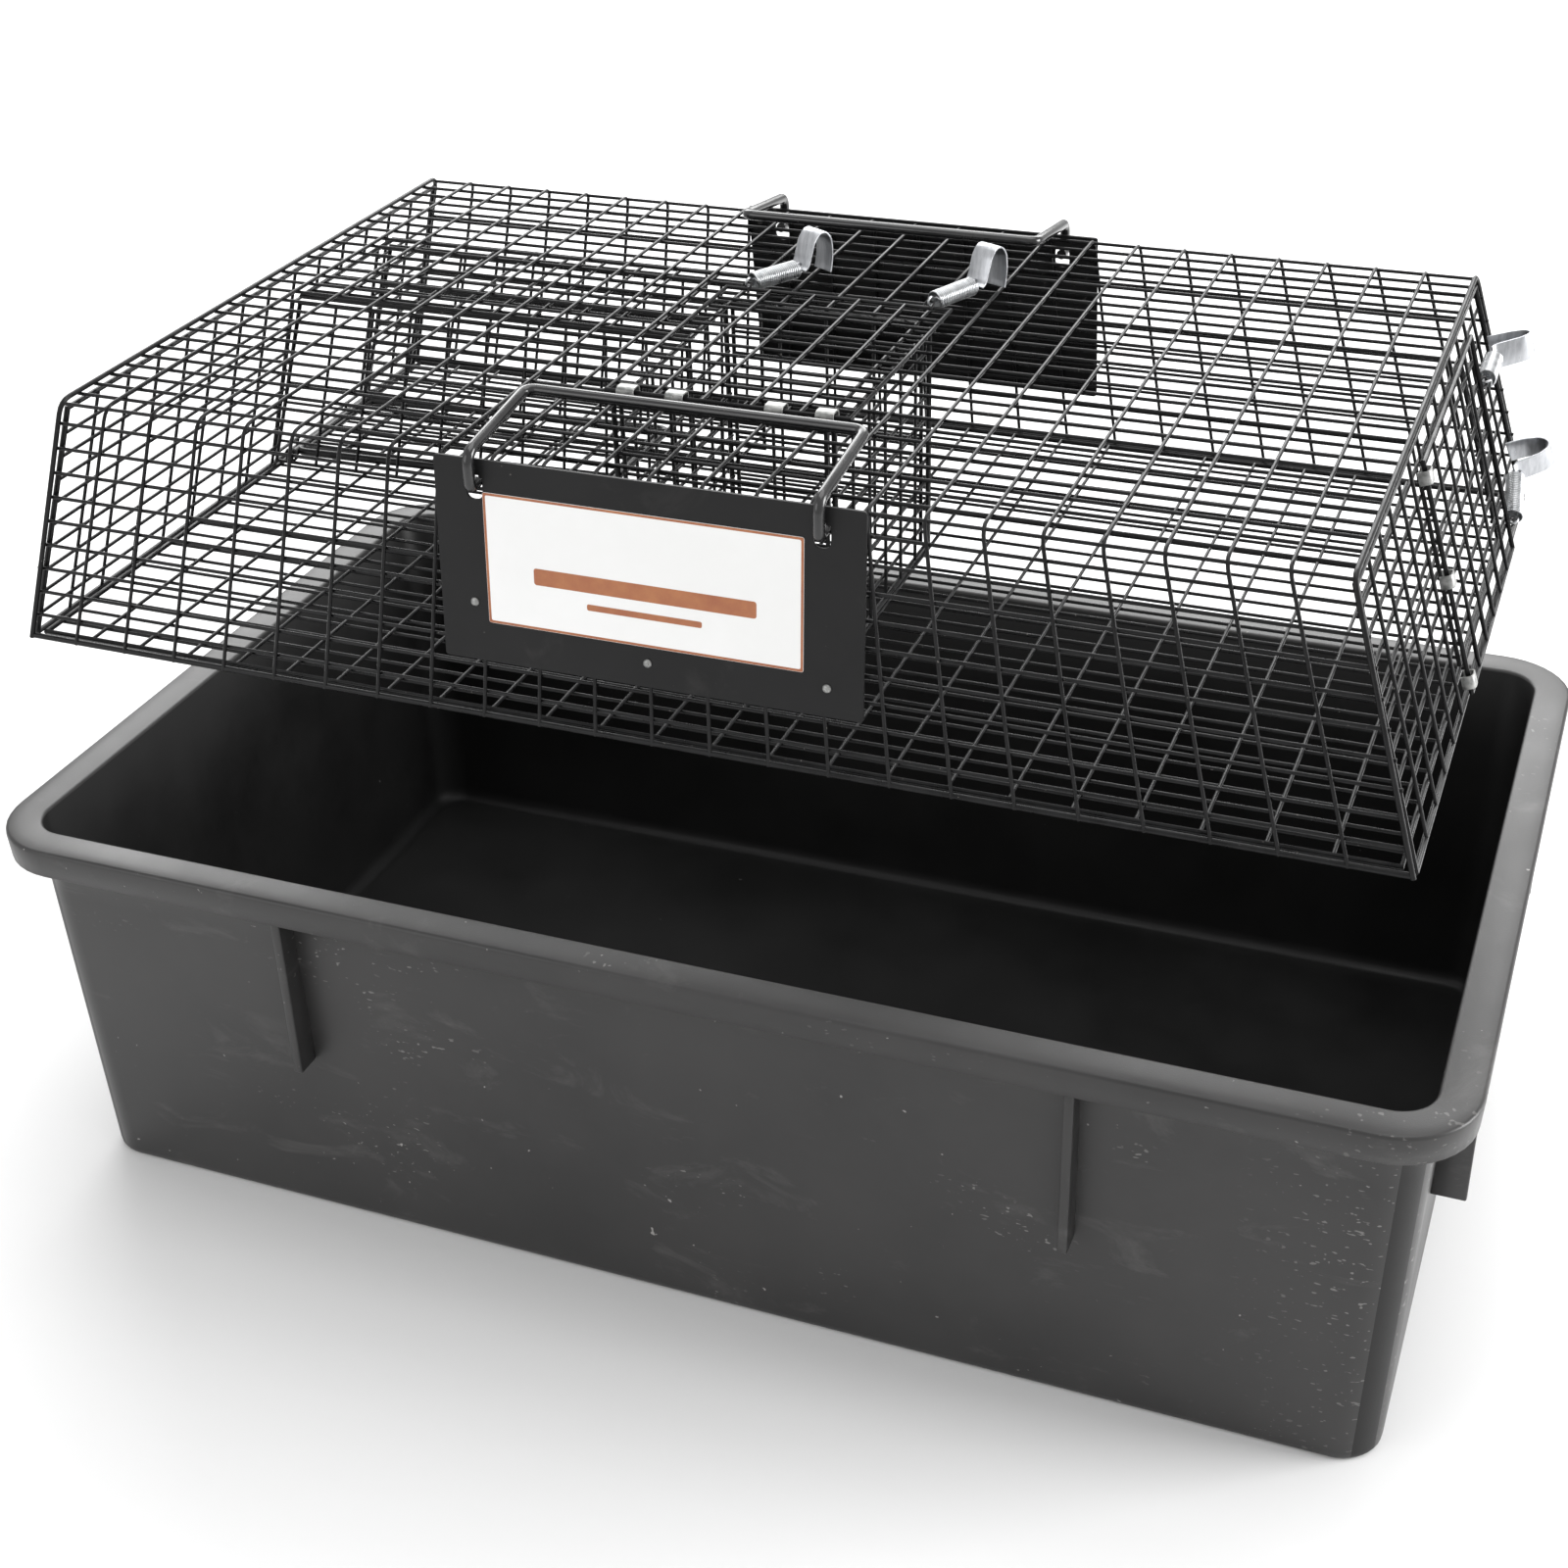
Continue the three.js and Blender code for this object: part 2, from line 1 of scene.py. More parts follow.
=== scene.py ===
import math

import bmesh
import bpy
from mathutils import Matrix, Vector


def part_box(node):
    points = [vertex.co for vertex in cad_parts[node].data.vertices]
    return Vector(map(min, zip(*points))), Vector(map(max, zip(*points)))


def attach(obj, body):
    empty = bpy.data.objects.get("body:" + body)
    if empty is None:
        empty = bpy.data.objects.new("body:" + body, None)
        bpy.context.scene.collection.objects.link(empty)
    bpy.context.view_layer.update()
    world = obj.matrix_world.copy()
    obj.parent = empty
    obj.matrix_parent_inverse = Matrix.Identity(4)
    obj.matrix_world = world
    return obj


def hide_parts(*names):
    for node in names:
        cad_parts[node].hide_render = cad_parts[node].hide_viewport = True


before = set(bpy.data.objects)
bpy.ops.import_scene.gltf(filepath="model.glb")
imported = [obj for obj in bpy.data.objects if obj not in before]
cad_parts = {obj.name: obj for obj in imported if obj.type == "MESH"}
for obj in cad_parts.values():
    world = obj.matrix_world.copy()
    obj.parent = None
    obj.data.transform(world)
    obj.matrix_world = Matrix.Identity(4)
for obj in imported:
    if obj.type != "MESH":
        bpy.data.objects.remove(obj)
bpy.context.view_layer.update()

# ---------------------------------------------------------------------------------------------
# Cage body: one sheet of welded mesh bent over the roof from the front wall to the back wall.
# Black coated steel wire; the hoops lie outside and the long rows are welded on inside them.
# Sizes are millimetres; heights start at the cage's foot, and at the tub's in its own section.
MM = 0.001
CAGE_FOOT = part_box("front_mesh")[0].z / MM
CAGE = Matrix.Diagonal((MM, MM, MM, 1)) @ Matrix.Translation((0, 0, CAGE_FOOT))
CELL = 25.4
CELLS_LONG = 24
ROOF_HALF = CELL * CELLS_LONG / 2
FLOOR_HALF = 345
CAGE_HEIGHT = 129
ROOF_FRONT, ROOF_BACK = -192, 184
FLOOR_FRONT, FLOOR_BACK = -202, 202
# The size of a wire is its radius, and the second layer is the depth of the long rows' middles.
WIRE, END_HOOP_WIRE, HATCH_WIRE, EDGE_WIRE = 0.92, 1.3, 1.2, 1.5
SECOND_LAYER = 2.75
ROOF_BEND = 7
HOOP_FOOT, END_HOOP_INSET = 0.5, 2
WALL_ROWS, ROOF_ROWS = 10, 28
ROW_OVERRUN = 1
# The lowest rows end within the end hoops, not past them, to clear the tub when the cage is down.
LOW_ROWS_TOP, LOW_ROW_TRIM = 30, 1.5
HATCH_SIDE, HATCH_FRONT, HATCH_BACK = 50.8, -98, 30
HATCH_DROP = 0.6
BEND_SHARE = 0.48
CREASE = math.radians(50)


def add(tree, kind, inputs=None, **settings):
    """A node with its settings; an input takes a value or another node's output."""
    made = tree.nodes.new(kind)
    for key, value in settings.items():
        setattr(made, key, value)
    for key, value in (inputs or {}).items():
        if isinstance(value, bpy.types.NodeSocket):
            tree.links.new(value, made.inputs[key])
        else:
            made.inputs[key].default_value = value
    return made


def effect_group(name, ins, outs):
    """An empty shader node group with its sockets; returns the tree, its input and its output."""
    tree = bpy.data.node_groups.new(name, "ShaderNodeTree")
    for label, kind, value in ins:
        socket = tree.interface.new_socket(label, in_out="INPUT", socket_type=kind)
        if value is not None:
            socket.default_value = value
    for label, kind in outs:
        tree.interface.new_socket(label, in_out="OUTPUT", socket_type=kind)
    return tree, tree.nodes.new("NodeGroupInput"), tree.nodes.new("NodeGroupOutput")


# The colour sockets of a Mix node by number, because their names aren't unique on it.
MIX_FROM, MIX_TO, MIX_COLOUR = 6, 7, 2

# Drift: a finish that varies from place to place, with specks of dust or wear.
drift, give, take = effect_group(
    "Finish drift",
    [("Place", "NodeSocketVector", None), ("Colour", "NodeSocketColor", None),
     ("Other colour", "NodeSocketColor", None), ("Speck colour", "NodeSocketColor", None),
     ("Patch scale", "NodeSocketFloat", 40), ("Speck scale", "NodeSocketFloat", 400),
     ("Speck level", "NodeSocketFloat", 0.7), ("Smoothest", "NodeSocketFloat", 0.3),
     ("Roughest", "NodeSocketFloat", 0.5), ("Grain scale", "NodeSocketFloat", 1500)],
    [("Colour", "NodeSocketColor"), ("Roughness", "NodeSocketFloat"), ("Height", "NodeSocketFloat")])
patches = add(drift, "ShaderNodeTexNoise", {
    "Vector": give.outputs["Place"], "Scale": give.outputs["Patch scale"], "Detail": 5.0, "Roughness": 0.6})
patch_mask = add(drift, "ShaderNodeMapRange", {
    "Value": patches.outputs["Fac"], "From Min": 0.35, "From Max": 0.65})
tone = add(drift, "ShaderNodeMix", {
    "Factor": patch_mask.outputs["Result"], MIX_FROM: give.outputs["Colour"],
    MIX_TO: give.outputs["Other colour"]}, data_type="RGBA")
dots = add(drift, "ShaderNodeTexNoise", {
    "Vector": give.outputs["Place"], "Scale": give.outputs["Speck scale"], "Detail": 2.0, "Roughness": 0.5})
level_top = add(drift, "ShaderNodeMath", {0: give.outputs["Speck level"], 1: 0.04}, operation="ADD")
dot_mask = add(drift, "ShaderNodeMapRange", {
    "Value": dots.outputs["Fac"], "From Min": give.outputs["Speck level"], "From Max": level_top.outputs[0]})
dotted = add(drift, "ShaderNodeMix", {
    "Factor": dot_mask.outputs["Result"], MIX_FROM: tone.outputs[MIX_COLOUR],
    MIX_TO: give.outputs["Speck colour"]}, data_type="RGBA")
gloss = add(drift, "ShaderNodeMapRange", {
    "Value": patches.outputs["Fac"], "From Min": 0.3, "From Max": 0.7,
    "To Min": give.outputs["Smoothest"], "To Max": give.outputs["Roughest"]})
grain = add(drift, "ShaderNodeTexNoise", {
    "Vector": give.outputs["Place"], "Scale": give.outputs["Grain scale"], "Detail": 3.0, "Roughness": 0.55})
drift.links.new(dotted.outputs[MIX_COLOUR], take.inputs["Colour"])
drift.links.new(gloss.outputs["Result"], take.inputs["Roughness"])
drift.links.new(grain.outputs["Fac"], take.inputs["Height"])


def finish(name, bump, grain_depth, shader, stretch=(1, 1, 1), **values):
    """A material whose colour, roughness and bump come from the finish drift group."""
    material = bpy.data.materials.new(name)
    material.use_nodes = True
    tree = material.node_tree
    tree.nodes.clear()
    where = add(tree, "ShaderNodeTexCoord")
    turned = add(tree, "ShaderNodeMapping", {"Vector": where.outputs["Object"], "Scale": stretch})
    effect = tree.nodes.new("ShaderNodeGroup")
    effect.node_tree = drift
    tree.links.new(turned.outputs["Vector"], effect.inputs["Place"])
    for key, value in values.items():
        effect.inputs[key.replace("_", " ").capitalize()].default_value = value
    relief = add(tree, "ShaderNodeBump", {
        "Strength": bump, "Distance": grain_depth * MM, "Height": effect.outputs["Height"]})
    surface = add(tree, "ShaderNodeBsdfPrincipled", {
        "Base Color": effect.outputs["Colour"], "Roughness": effect.outputs["Roughness"],
        "Normal": relief.outputs["Normal"]})
    for key, value in shader.items():
        surface.inputs[key].default_value = value
    add(tree, "ShaderNodeOutputMaterial", {"Surface": surface.outputs["BSDF"]})
    return material


black_coat = finish(
    "Black dipped coating", 0.35, 0.12, {"Specular IOR Level": 0.22},
    colour=(0.004, 0.004, 0.0043, 1), other_colour=(0.012, 0.012, 0.0125, 1),
    speck_colour=(0.16, 0.15, 0.14, 1),
    patch_scale=60, speck_scale=500, speck_level=0.74, smoothest=0.2, roughest=0.42, grain_scale=900)


def rounded(corners, bend, steps=4):
    """A path with each of its inner corners turned into a bend, as far as its sides leave room."""
    path = [corners[0]]
    for before, corner, after in zip(corners, corners[1:], corners[2:]):
        room = min((corner - before).length, (after - corner).length)
        reach = min(bend, room * BEND_SHARE)
        start = corner + (before - corner).normalized() * reach
        stop = corner + (after - corner).normalized() * reach
        for i in range(steps + 1):
            t = i / steps
            path.append(start.lerp(corner, t).lerp(corner.lerp(stop, t), t))
    path.append(corners[-1])
    return path


def baked(bench):
    """The shape of a bench object with its modifiers applied; the bench object is removed."""
    bpy.context.view_layer.update()
    ready = bench.evaluated_get(bpy.context.evaluated_depsgraph_get())
    shape = bpy.data.meshes.new_from_object(ready)
    bpy.data.objects.remove(bench)
    return shape


def bent_wires(strands, place, sides=8):
    """Round wires as one mesh; a strand is its points, its radius and whether it is a ring."""
    curve = bpy.data.curves.new("bench", "CURVE")
    curve.dimensions = "3D"
    curve.bevel_depth = 1
    curve.bevel_resolution = (sides - 4) // 2
    curve.use_fill_caps = True
    for points, radius, ring in strands:
        spline = curve.splines.new("POLY")
        spline.points.add(len(points) - 1)
        for knot, spot in zip(spline.points, points):
            knot.co = (*spot, 1)
            knot.radius = radius
        spline.use_cyclic_u = ring
    bench = bpy.data.objects.new("bench", curve)
    bpy.context.collection.objects.link(bench)
    shape = baked(bench)
    shape.transform(place)
    return shape


def piece(name, shape, material, body, slot, *stands_for):
    """A finished mesh becomes a piece that rides a body and stands for its CAD nodes."""
    made = bpy.data.objects.new(name, shape)
    bpy.context.collection.objects.link(made)
    shape.name = name
    shape.materials.clear()
    for coat in material if isinstance(material, list) else [material]:
        shape.materials.append(coat)
    for face in shape.polygons:
        face.use_smooth = True
    shape.set_sharp_from_angle(angle=CREASE)
    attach(made, body)
    if stands_for:
        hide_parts(*stands_for)
    return made


def half_length(z):
    """Half the cage's length at a height, for walls that lean out towards the floor."""
    return FLOOR_HALF + (ROOF_HALF - FLOOR_HALF) * z / CAGE_HEIGHT


def front_y(z):
    """The outer face of the front wall at a height."""
    return FLOOR_FRONT + (ROOF_FRONT - FLOOR_FRONT) * z / CAGE_HEIGHT


def back_y(z):
    """The outer face of the back wall at a height."""
    return FLOOR_BACK + (ROOF_BACK - FLOOR_BACK) * z / CAGE_HEIGHT


body_wires = []
roof_z = CAGE_HEIGHT - WIRE
for i in range(CELLS_LONG + 1):
    x = -ROOF_HALF + i * CELL
    at_end = i in (0, CELLS_LONG)
    thick = END_HOOP_WIRE if at_end else WIRE
    foot_x = x * (FLOOR_HALF - (END_HOOP_INSET if at_end else 0)) / ROOF_HALF
    front = [Vector((foot_x, FLOOR_FRONT + WIRE, HOOP_FOOT)), Vector((x, ROOF_FRONT + WIRE, roof_z))]
    back = [Vector((x, ROOF_BACK - WIRE, roof_z)), Vector((foot_x, FLOOR_BACK - WIRE, HOOP_FOOT))]
    if abs(x) < HATCH_SIDE - CELL / 2:
        body_wires.append((rounded(front + [Vector((x, HATCH_FRONT, roof_z))], ROOF_BEND), thick, False))
        body_wires.append((rounded([Vector((x, HATCH_BACK, roof_z))] + back, ROOF_BEND), thick, False))
    else:
        body_wires.append((rounded(front + back, ROOF_BEND), thick, False))
for k in range(WALL_ROWS):
    z = max(EDGE_WIRE, k * CAGE_HEIGHT / WALL_ROWS)
    x = half_length(z) + (ROW_OVERRUN if z > LOW_ROWS_TOP else -LOW_ROW_TRIM)
    radius = WIRE if k else EDGE_WIRE
    inner = SECOND_LAYER if k else EDGE_WIRE
    for y in (front_y(z) + inner, back_y(z) - inner):
        body_wires.append(([Vector((-x, y, z)), Vector((x, y, z))], radius, False))
for k in range(ROOF_ROWS + 1):
    y = ROOF_FRONT + SECOND_LAYER + k * (ROOF_BACK - ROOF_FRONT - 2 * SECOND_LAYER) / ROOF_ROWS
    z = CAGE_HEIGHT - SECOND_LAYER
    row_end = ROOF_HALF + ROW_OVERRUN
    spans = [(-row_end, row_end)]
    if HATCH_FRONT < y < HATCH_BACK:
        spans = [(-row_end, -HATCH_SIDE), (HATCH_SIDE, row_end)]
    for x0, x1 in spans:
        body_wires.append(([Vector((x0, y, z)), Vector((x1, y, z))], WIRE, False))
hatch_ring = [Vector((hand * HATCH_SIDE, y, roof_z - HATCH_DROP)) for hand, y in (
    (-1, HATCH_FRONT), (1, HATCH_FRONT), (1, HATCH_BACK), (-1, HATCH_BACK))]
body_wires.append((hatch_ring, HATCH_WIRE, True))
piece("cage_body", bent_wires(body_wires, CAGE), black_coat, "cage", "black_wire",
      "roof_left_mesh", "roof_right_mesh", "roof_front_mesh", "roof_back_mesh", "front_mesh", "back_mesh")

# ---------------------------------------------------------------------------------------------
# Flat mesh panels: the two end walls, the floor, the bait box and the entrance tunnel.
# Each is cut from the same welded wire, with a heavier edge wire welded round it and its gaps.
# Gaps are y from and to, then z from and to; the bait box is x from and to, then y.
CORNER_INSET = 4.1
WALL_TOP = 125
CELLS_DEEP = 14
GAP_WIRE = 1.1
WELD = 0.05
NO_GAP = ((2, 2), (2, 2))
ENTRANCE = (26, 124, 6, 105)
END_HATCH = (-38, 105, 16, 109)
FLOOR_LEVEL, FLOOR_INSET = 3.6, 1
STOREY = (4, 125)
BAIT_BOX = (-57, 57, -106, 36)
BAIT_LAP = 4
BAIT_CELLS_DEEP, BAIT_CELLS_LONG = 6, 4
TUNNEL_END = -72
TUNNEL_INSET = CORNER_INSET + 0.3
TUNNEL_GAP, TUNNEL_ROOF_GAP = 3.6, 4
TUNNEL_CELLS = (10, 8)


def panel(corners, across, down, gap=None, edge=EDGE_WIRE):
    """Strands of a flat panel with its outer face on its corners; a gap is a share range each way."""
    a, b, c, d = [Vector(p) for p in corners]
    out = (b - a).cross(d - a).normalized()

    def inset(loop, distance):
        moved = []
        for i, corner in enumerate(loop):
            into = (corner - loop[i - 1]).normalized()
            away = (loop[(i + 1) % len(loop)] - corner).normalized()
            sideways = out.cross(into) + out.cross(away)
            moved.append(corner + sideways * distance / (1 + into.dot(away)))
        return moved

    ring = inset([a, b, c, d], edge)

    def at(u, v):
        return ring[0].lerp(ring[1], u).lerp(ring[3].lerp(ring[2], u), v)

    strands = [([p - out * edge for p in ring], edge, True)]
    u_gap, v_gap = gap or NO_GAP
    for count, gate, stop, depth, turned in (
            (across, u_gap, v_gap, WIRE, False), (down, v_gap, u_gap, 3 * WIRE - WELD, True)):
        for i in range(1, count):
            share = i / count
            spans = [(0, stop[0]), (stop[1], 1)] if gate[0] < share < gate[1] else [(0, 1)]
            for start, stop_at in spans:
                ends = [at(t, share) if turned else at(share, t) for t in (start, stop_at)]
                strands.append(([p - out * depth for p in ends], WIRE, False))
    if gap:
        hole = [at(u_gap[0], v_gap[0]), at(u_gap[1], v_gap[0]),
                at(u_gap[1], v_gap[1]), at(u_gap[0], v_gap[1])]
        strands.append(([p - out * edge for p in hole], GAP_WIRE, True))
    return strands


def end_panel(side, opening):
    """An end wall that leans out towards the floor, with its opening."""
    front = [Vector((side * half_length(z), front_y(z) + CORNER_INSET, z)) for z in (0, WALL_TOP)]
    back = [Vector((side * half_length(z), back_y(z) - CORNER_INSET, z)) for z in (0, WALL_TOP)]
    near, far = (back, front) if side < 0 else (front, back)
    y0, y1, z0, z1 = opening
    middle = (z0 + z1) / 2
    low, high = front_y(middle) + CORNER_INSET, back_y(middle) - CORNER_INSET
    shares = [(y - low) / (high - low) for y in (y0, y1)]
    if side < 0:
        shares = [1 - share for share in reversed(shares)]
    gap = (shares, (z0 / WALL_TOP, z1 / WALL_TOP))
    return panel([near[0], far[0], far[1], near[1]], CELLS_DEEP, WALL_ROWS, gap)


piece("left_end_panel", bent_wires(end_panel(-1, ENTRANCE), CAGE), black_coat, "cage", "black_wire",
      "left_end_mesh")
piece("right_end_panel", bent_wires(end_panel(1, END_HATCH), CAGE), black_coat, "cage", "black_wire",
      "right_end_mesh")

floor_x = half_length(FLOOR_LEVEL) - CORNER_INSET - FLOOR_INSET
floor_y0, floor_y1 = front_y(FLOOR_LEVEL) + CORNER_INSET, back_y(FLOOR_LEVEL) - CORNER_INSET
floor_corners = [(x, y, FLOOR_LEVEL) for x, y in (
    (-floor_x, floor_y0), (floor_x, floor_y0), (floor_x, floor_y1), (-floor_x, floor_y1))]
piece("floor_panel", bent_wires(panel(floor_corners, CELLS_LONG, ROOF_ROWS), CAGE), black_coat,
      "cage", "black_wire", "floor_mesh")


def upright(start, stop, low, high, across, down, lean_start=0, lean_stop=0):
    """A standing panel between two plan points; its ends may lean along X."""
    return panel([(*start, low), (*stop, low), (stop[0] + lean_stop, stop[1], high),
                  (start[0] + lean_start, start[1], high)], across, down)


left, right, front, back = BAIT_BOX
low, high = STOREY
bait_plans = {
    "bait_box_left": ((left, back), (left, front), BAIT_CELLS_DEEP),
    "bait_box_right": ((right, front), (right, back), BAIT_CELLS_DEEP),
    "bait_box_front": ((left + BAIT_LAP, front), (right - BAIT_LAP, front), BAIT_CELLS_LONG),
    "bait_box_back": ((right - BAIT_LAP, back), (left + BAIT_LAP, back), BAIT_CELLS_LONG),
}
for node, (start, stop, cells) in bait_plans.items():
    strands = upright(start, stop, low, high, cells, WALL_ROWS)
    piece(node + "_panel", bent_wires(strands, CAGE), black_coat, "cage", "black_wire", node)

mouth_y0, mouth_y1, _, mouth_top = ENTRANCE
tunnel_left = -(half_length(low) - TUNNEL_INSET)
tunnel_lean = -tunnel_left - (half_length(mouth_top) - TUNNEL_INSET)
roof_of_tunnel = mouth_top + TUNNEL_ROOF_GAP
tunnel_x = -(half_length(roof_of_tunnel) - TUNNEL_INSET)
y0, y1 = mouth_y0 - TUNNEL_GAP, mouth_y1 + TUNNEL_GAP
tunnel_roof = [(x, y, roof_of_tunnel) for x, y in (
    (tunnel_x, y0), (TUNNEL_END, y0), (TUNNEL_END, y1), (tunnel_x, y1))]
tunnel_panels = {
    "tunnel_wall_back": upright((TUNNEL_END, y1), (tunnel_left, y1), low, mouth_top, *TUNNEL_CELLS,
                                lean_stop=tunnel_lean),
    "tunnel_wall_front": upright((tunnel_left, y0), (TUNNEL_END, y0), low, mouth_top, *TUNNEL_CELLS,
                                 lean_start=tunnel_lean),
    "tunnel_roof": panel(tunnel_roof, *TUNNEL_CELLS),
}
for node, strands in tunnel_panels.items():
    piece(node + "_panel", bent_wires(strands, CAGE), black_coat, "cage", "black_wire", node)

# ---------------------------------------------------------------------------------------------
# Entrance ramp: a ring of heavy rod with a mesh tread welded inside it.
# Its end at the entrance turns on a cross rod held by two wire eyes inside the tunnel walls.
RAMP_HINGE, RAMP_END = -329, -130
RAMP_LOW, RAMP_HIGH = 8.6, 13.6
RAMP_FRONT, RAMP_BACK = 33, 117
RAMP_ROD, RAMP_BEND = 2.3, 7
PIVOT_INSET = 0.6
TREAD_INSET, TREAD_RISE = 2.7, 1.8
TREAD_CELLS = (8, 6)
EYE_WIRE, EYE_CLEARANCE, EYE_INSET, EYE_TURNS = 0.72, 1.15, 1.4, (-0.5, 0.5)


def on_ramp(x, y, rise=0):
    """A point over the line of the ramp, which climbs from its hinge."""
    slope = (RAMP_HIGH - RAMP_LOW) / (RAMP_END - RAMP_HINGE)
    return Vector((x, y, RAMP_LOW + (x - RAMP_HINGE) * slope + rise))


def ring_path(corners, bend, steps=4):
    """A closed path with every corner turned into a bend."""
    loop = [corners[-1], *corners, corners[0]]
    return rounded(loop, bend, steps)[1:-1]


def ramp_corners(inset, rise):
    """The ramp's four corners, moved in by the inset."""
    x0, x1, y0, y1 = RAMP_HINGE + inset, RAMP_END - inset, RAMP_FRONT + inset, RAMP_BACK - inset
    return [on_ramp(x0, y0, rise), on_ramp(x1, y0, rise), on_ramp(x1, y1, rise), on_ramp(x0, y1, rise)]


ramp_ring = ring_path(ramp_corners(0, 0), RAMP_BEND)
pivot = [on_ramp(RAMP_HINGE, mouth_y0 + PIVOT_INSET), on_ramp(RAMP_HINGE, mouth_y1 - PIVOT_INSET)]
piece("ramp_rod", bent_wires([(ramp_ring, RAMP_ROD, True), (pivot, RAMP_ROD, False)], CAGE, sides=12),
      black_coat, "ramp", "black_wire", "ramp_frame")
tread = panel(ramp_corners(TREAD_INSET, TREAD_RISE), *TREAD_CELLS)
piece("ramp_tread", bent_wires(tread, CAGE), black_coat, "ramp", "black_wire", "ramp_mesh")


def circle(middle, radius, first, second, steps=20):
    """Points round a circle in the plane of two directions."""
    middle, first, second = Vector(middle), Vector(first) * radius, Vector(second) * radius
    angles = [2 * math.pi * i / steps for i in range(steps)]
    return [middle + first * math.cos(a) + second * math.sin(a) for a in angles]


for end, y in (("front", mouth_y0 + EYE_INSET), ("back", mouth_y1 - EYE_INSET)):
    loops = []
    for shift in EYE_TURNS:
        middle = (RAMP_HINGE, y + shift, RAMP_LOW)
        loop = circle(middle, RAMP_ROD + EYE_CLEARANCE, (1, 0, 0), (0, 0, 1))
        loops.append((loop, EYE_WIRE, True))
    piece("ramp_eye_wire_" + end, bent_wires(loops, CAGE), black_coat, "cage", "black_wire",
          "ramp_eye_" + end)

# ---------------------------------------------------------------------------------------------
# Doors: the roof hatch door and the release door, each a flat panel a little larger than its gap.
# They lie on the outside of the mesh and turn on one edge; two wire bails at the far edge hold
# the latch springs. A door's numbers are its x and y spans on the roof, or y and z on the end.
TOP_DOOR = (-58, 66, -110, 42)
END_DOOR = (-48, 118, 6, 119)
TOP_DOOR_CELLS, END_DOOR_CELLS = (5, 12), (6, 9)
DOOR_TOP = 4.6
DOOR_EDGE = 1.2
BAIL_WIRE, BAIL_BEND, BAIL_HALF = 0.7, 1.6, 2.6
BAIL_FOOT, BAIL_HEAD = (-1.5, 3.4), (1.6, 6)
lean = math.atan2(FLOOR_HALF - ROOF_HALF, CAGE_HEIGHT)
outward = Vector((math.cos(lean), 0, math.sin(lean)))


def on_roof(x, y):
    """A frame on the roof: X along it, Y to the back, Z up."""
    return Matrix.Translation((x, y, CAGE_HEIGHT))


def on_end(y, z):
    """A frame on the right end wall: X down the wall, Y to the back, Z out of it."""
    down = Vector((0, 1, 0)).cross(outward)
    turn = Matrix((down, Vector((0, 1, 0)), outward)).transposed().to_4x4()
    return Matrix.Translation((half_length(z), y, z)) @ turn


# Each latch has a place along the door's free edge and a swing in degrees. Three of the four lie
# swung to one side, so a latch's frame is turned about the surface's normal.
TOP_LATCHES = {"top_latch_left": (-46, -30), "top_latch_right": (53, -24)}
END_LATCHES = {"end_latch_upper": (94, 0), "end_latch_lower": (20, 24)}
top_latch_places = {name: on_roof(x, TOP_DOOR[3]) @ Matrix.Rotation(math.radians(swing), 4, "Z")
                    for name, (x, swing) in TOP_LATCHES.items()}
end_latch_places = {name: on_end(END_DOOR[1], z) @ Matrix.Rotation(math.radians(swing), 4, "Z")
                    for name, (z, swing) in END_LATCHES.items()}


def bail(place):
    """The wire loop on a door's free edge that a spring eye turns on."""
    corners = [Vector((-BAIL_HALF, *BAIL_FOOT)), Vector((-BAIL_HALF, *BAIL_HEAD)),
               Vector((BAIL_HALF, *BAIL_HEAD)), Vector((BAIL_HALF, *BAIL_FOOT))]
    return [place @ p for p in rounded(corners, BAIL_BEND)]


x0, x1, y0, y1 = TOP_DOOR
door_z = CAGE_HEIGHT + DOOR_TOP
door_corners = [(x0, y0, door_z), (x1, y0, door_z), (x1, y1, door_z), (x0, y1, door_z)]
door = panel(door_corners, *TOP_DOOR_CELLS, edge=DOOR_EDGE)
door += [(bail(place), BAIL_WIRE, False) for place in top_latch_places.values()]
piece("top_door_panel", bent_wires(door, CAGE), black_coat, "top_door", "black_wire", "top_door")

y0, y1, z0, z1 = END_DOOR
door_corners = [Vector((half_length(z), y, z)) + outward * DOOR_TOP
                for y, z in ((y0, z0), (y1, z0), (y1, z1), (y0, z1))]
door = panel(door_corners, *END_DOOR_CELLS, edge=DOOR_EDGE)
door += [(bail(place), BAIL_WIRE, False) for place in end_latch_places.values()]
piece("end_door_panel", bent_wires(door, CAGE), black_coat, "end_door", "black_wire", "end_door")

# ---------------------------------------------------------------------------------------------
# Hinge clips: short strips of galvanised sheet, dull with age, crimped round the hinge wire of
# a door and the wire below it.
TOP_CLIPS = (-45.6, -20.8, 28.8, 53.6)
END_CLIPS = (111.2, 62.4, 13.6)
TOP_CLIP_WIDTH, END_CLIP_WIDTH, CLIP_SHEET = 9, 6.5, 0.8
CLIP_HALF, CLIP_FOOT, CLIP_HEAD, CLIP_BEND = 3.7, 0.5, 6.2, 2.4
HINGE_INSET = 1.5
SHEET_EDGE = 0.15

dull_zinc = finish(
    "Dull zinc sheet", 0.5, 0.1, {"Metallic": 0.9},
    colour=(0.2, 0.205, 0.2, 1), other_colour=(0.4, 0.4, 0.39, 1), speck_colour=(0.1, 0.08, 0.06, 1),
    patch_scale=260, speck_scale=700, speck_level=0.7, smoothest=0.32, roughest=0.55, grain_scale=1800)


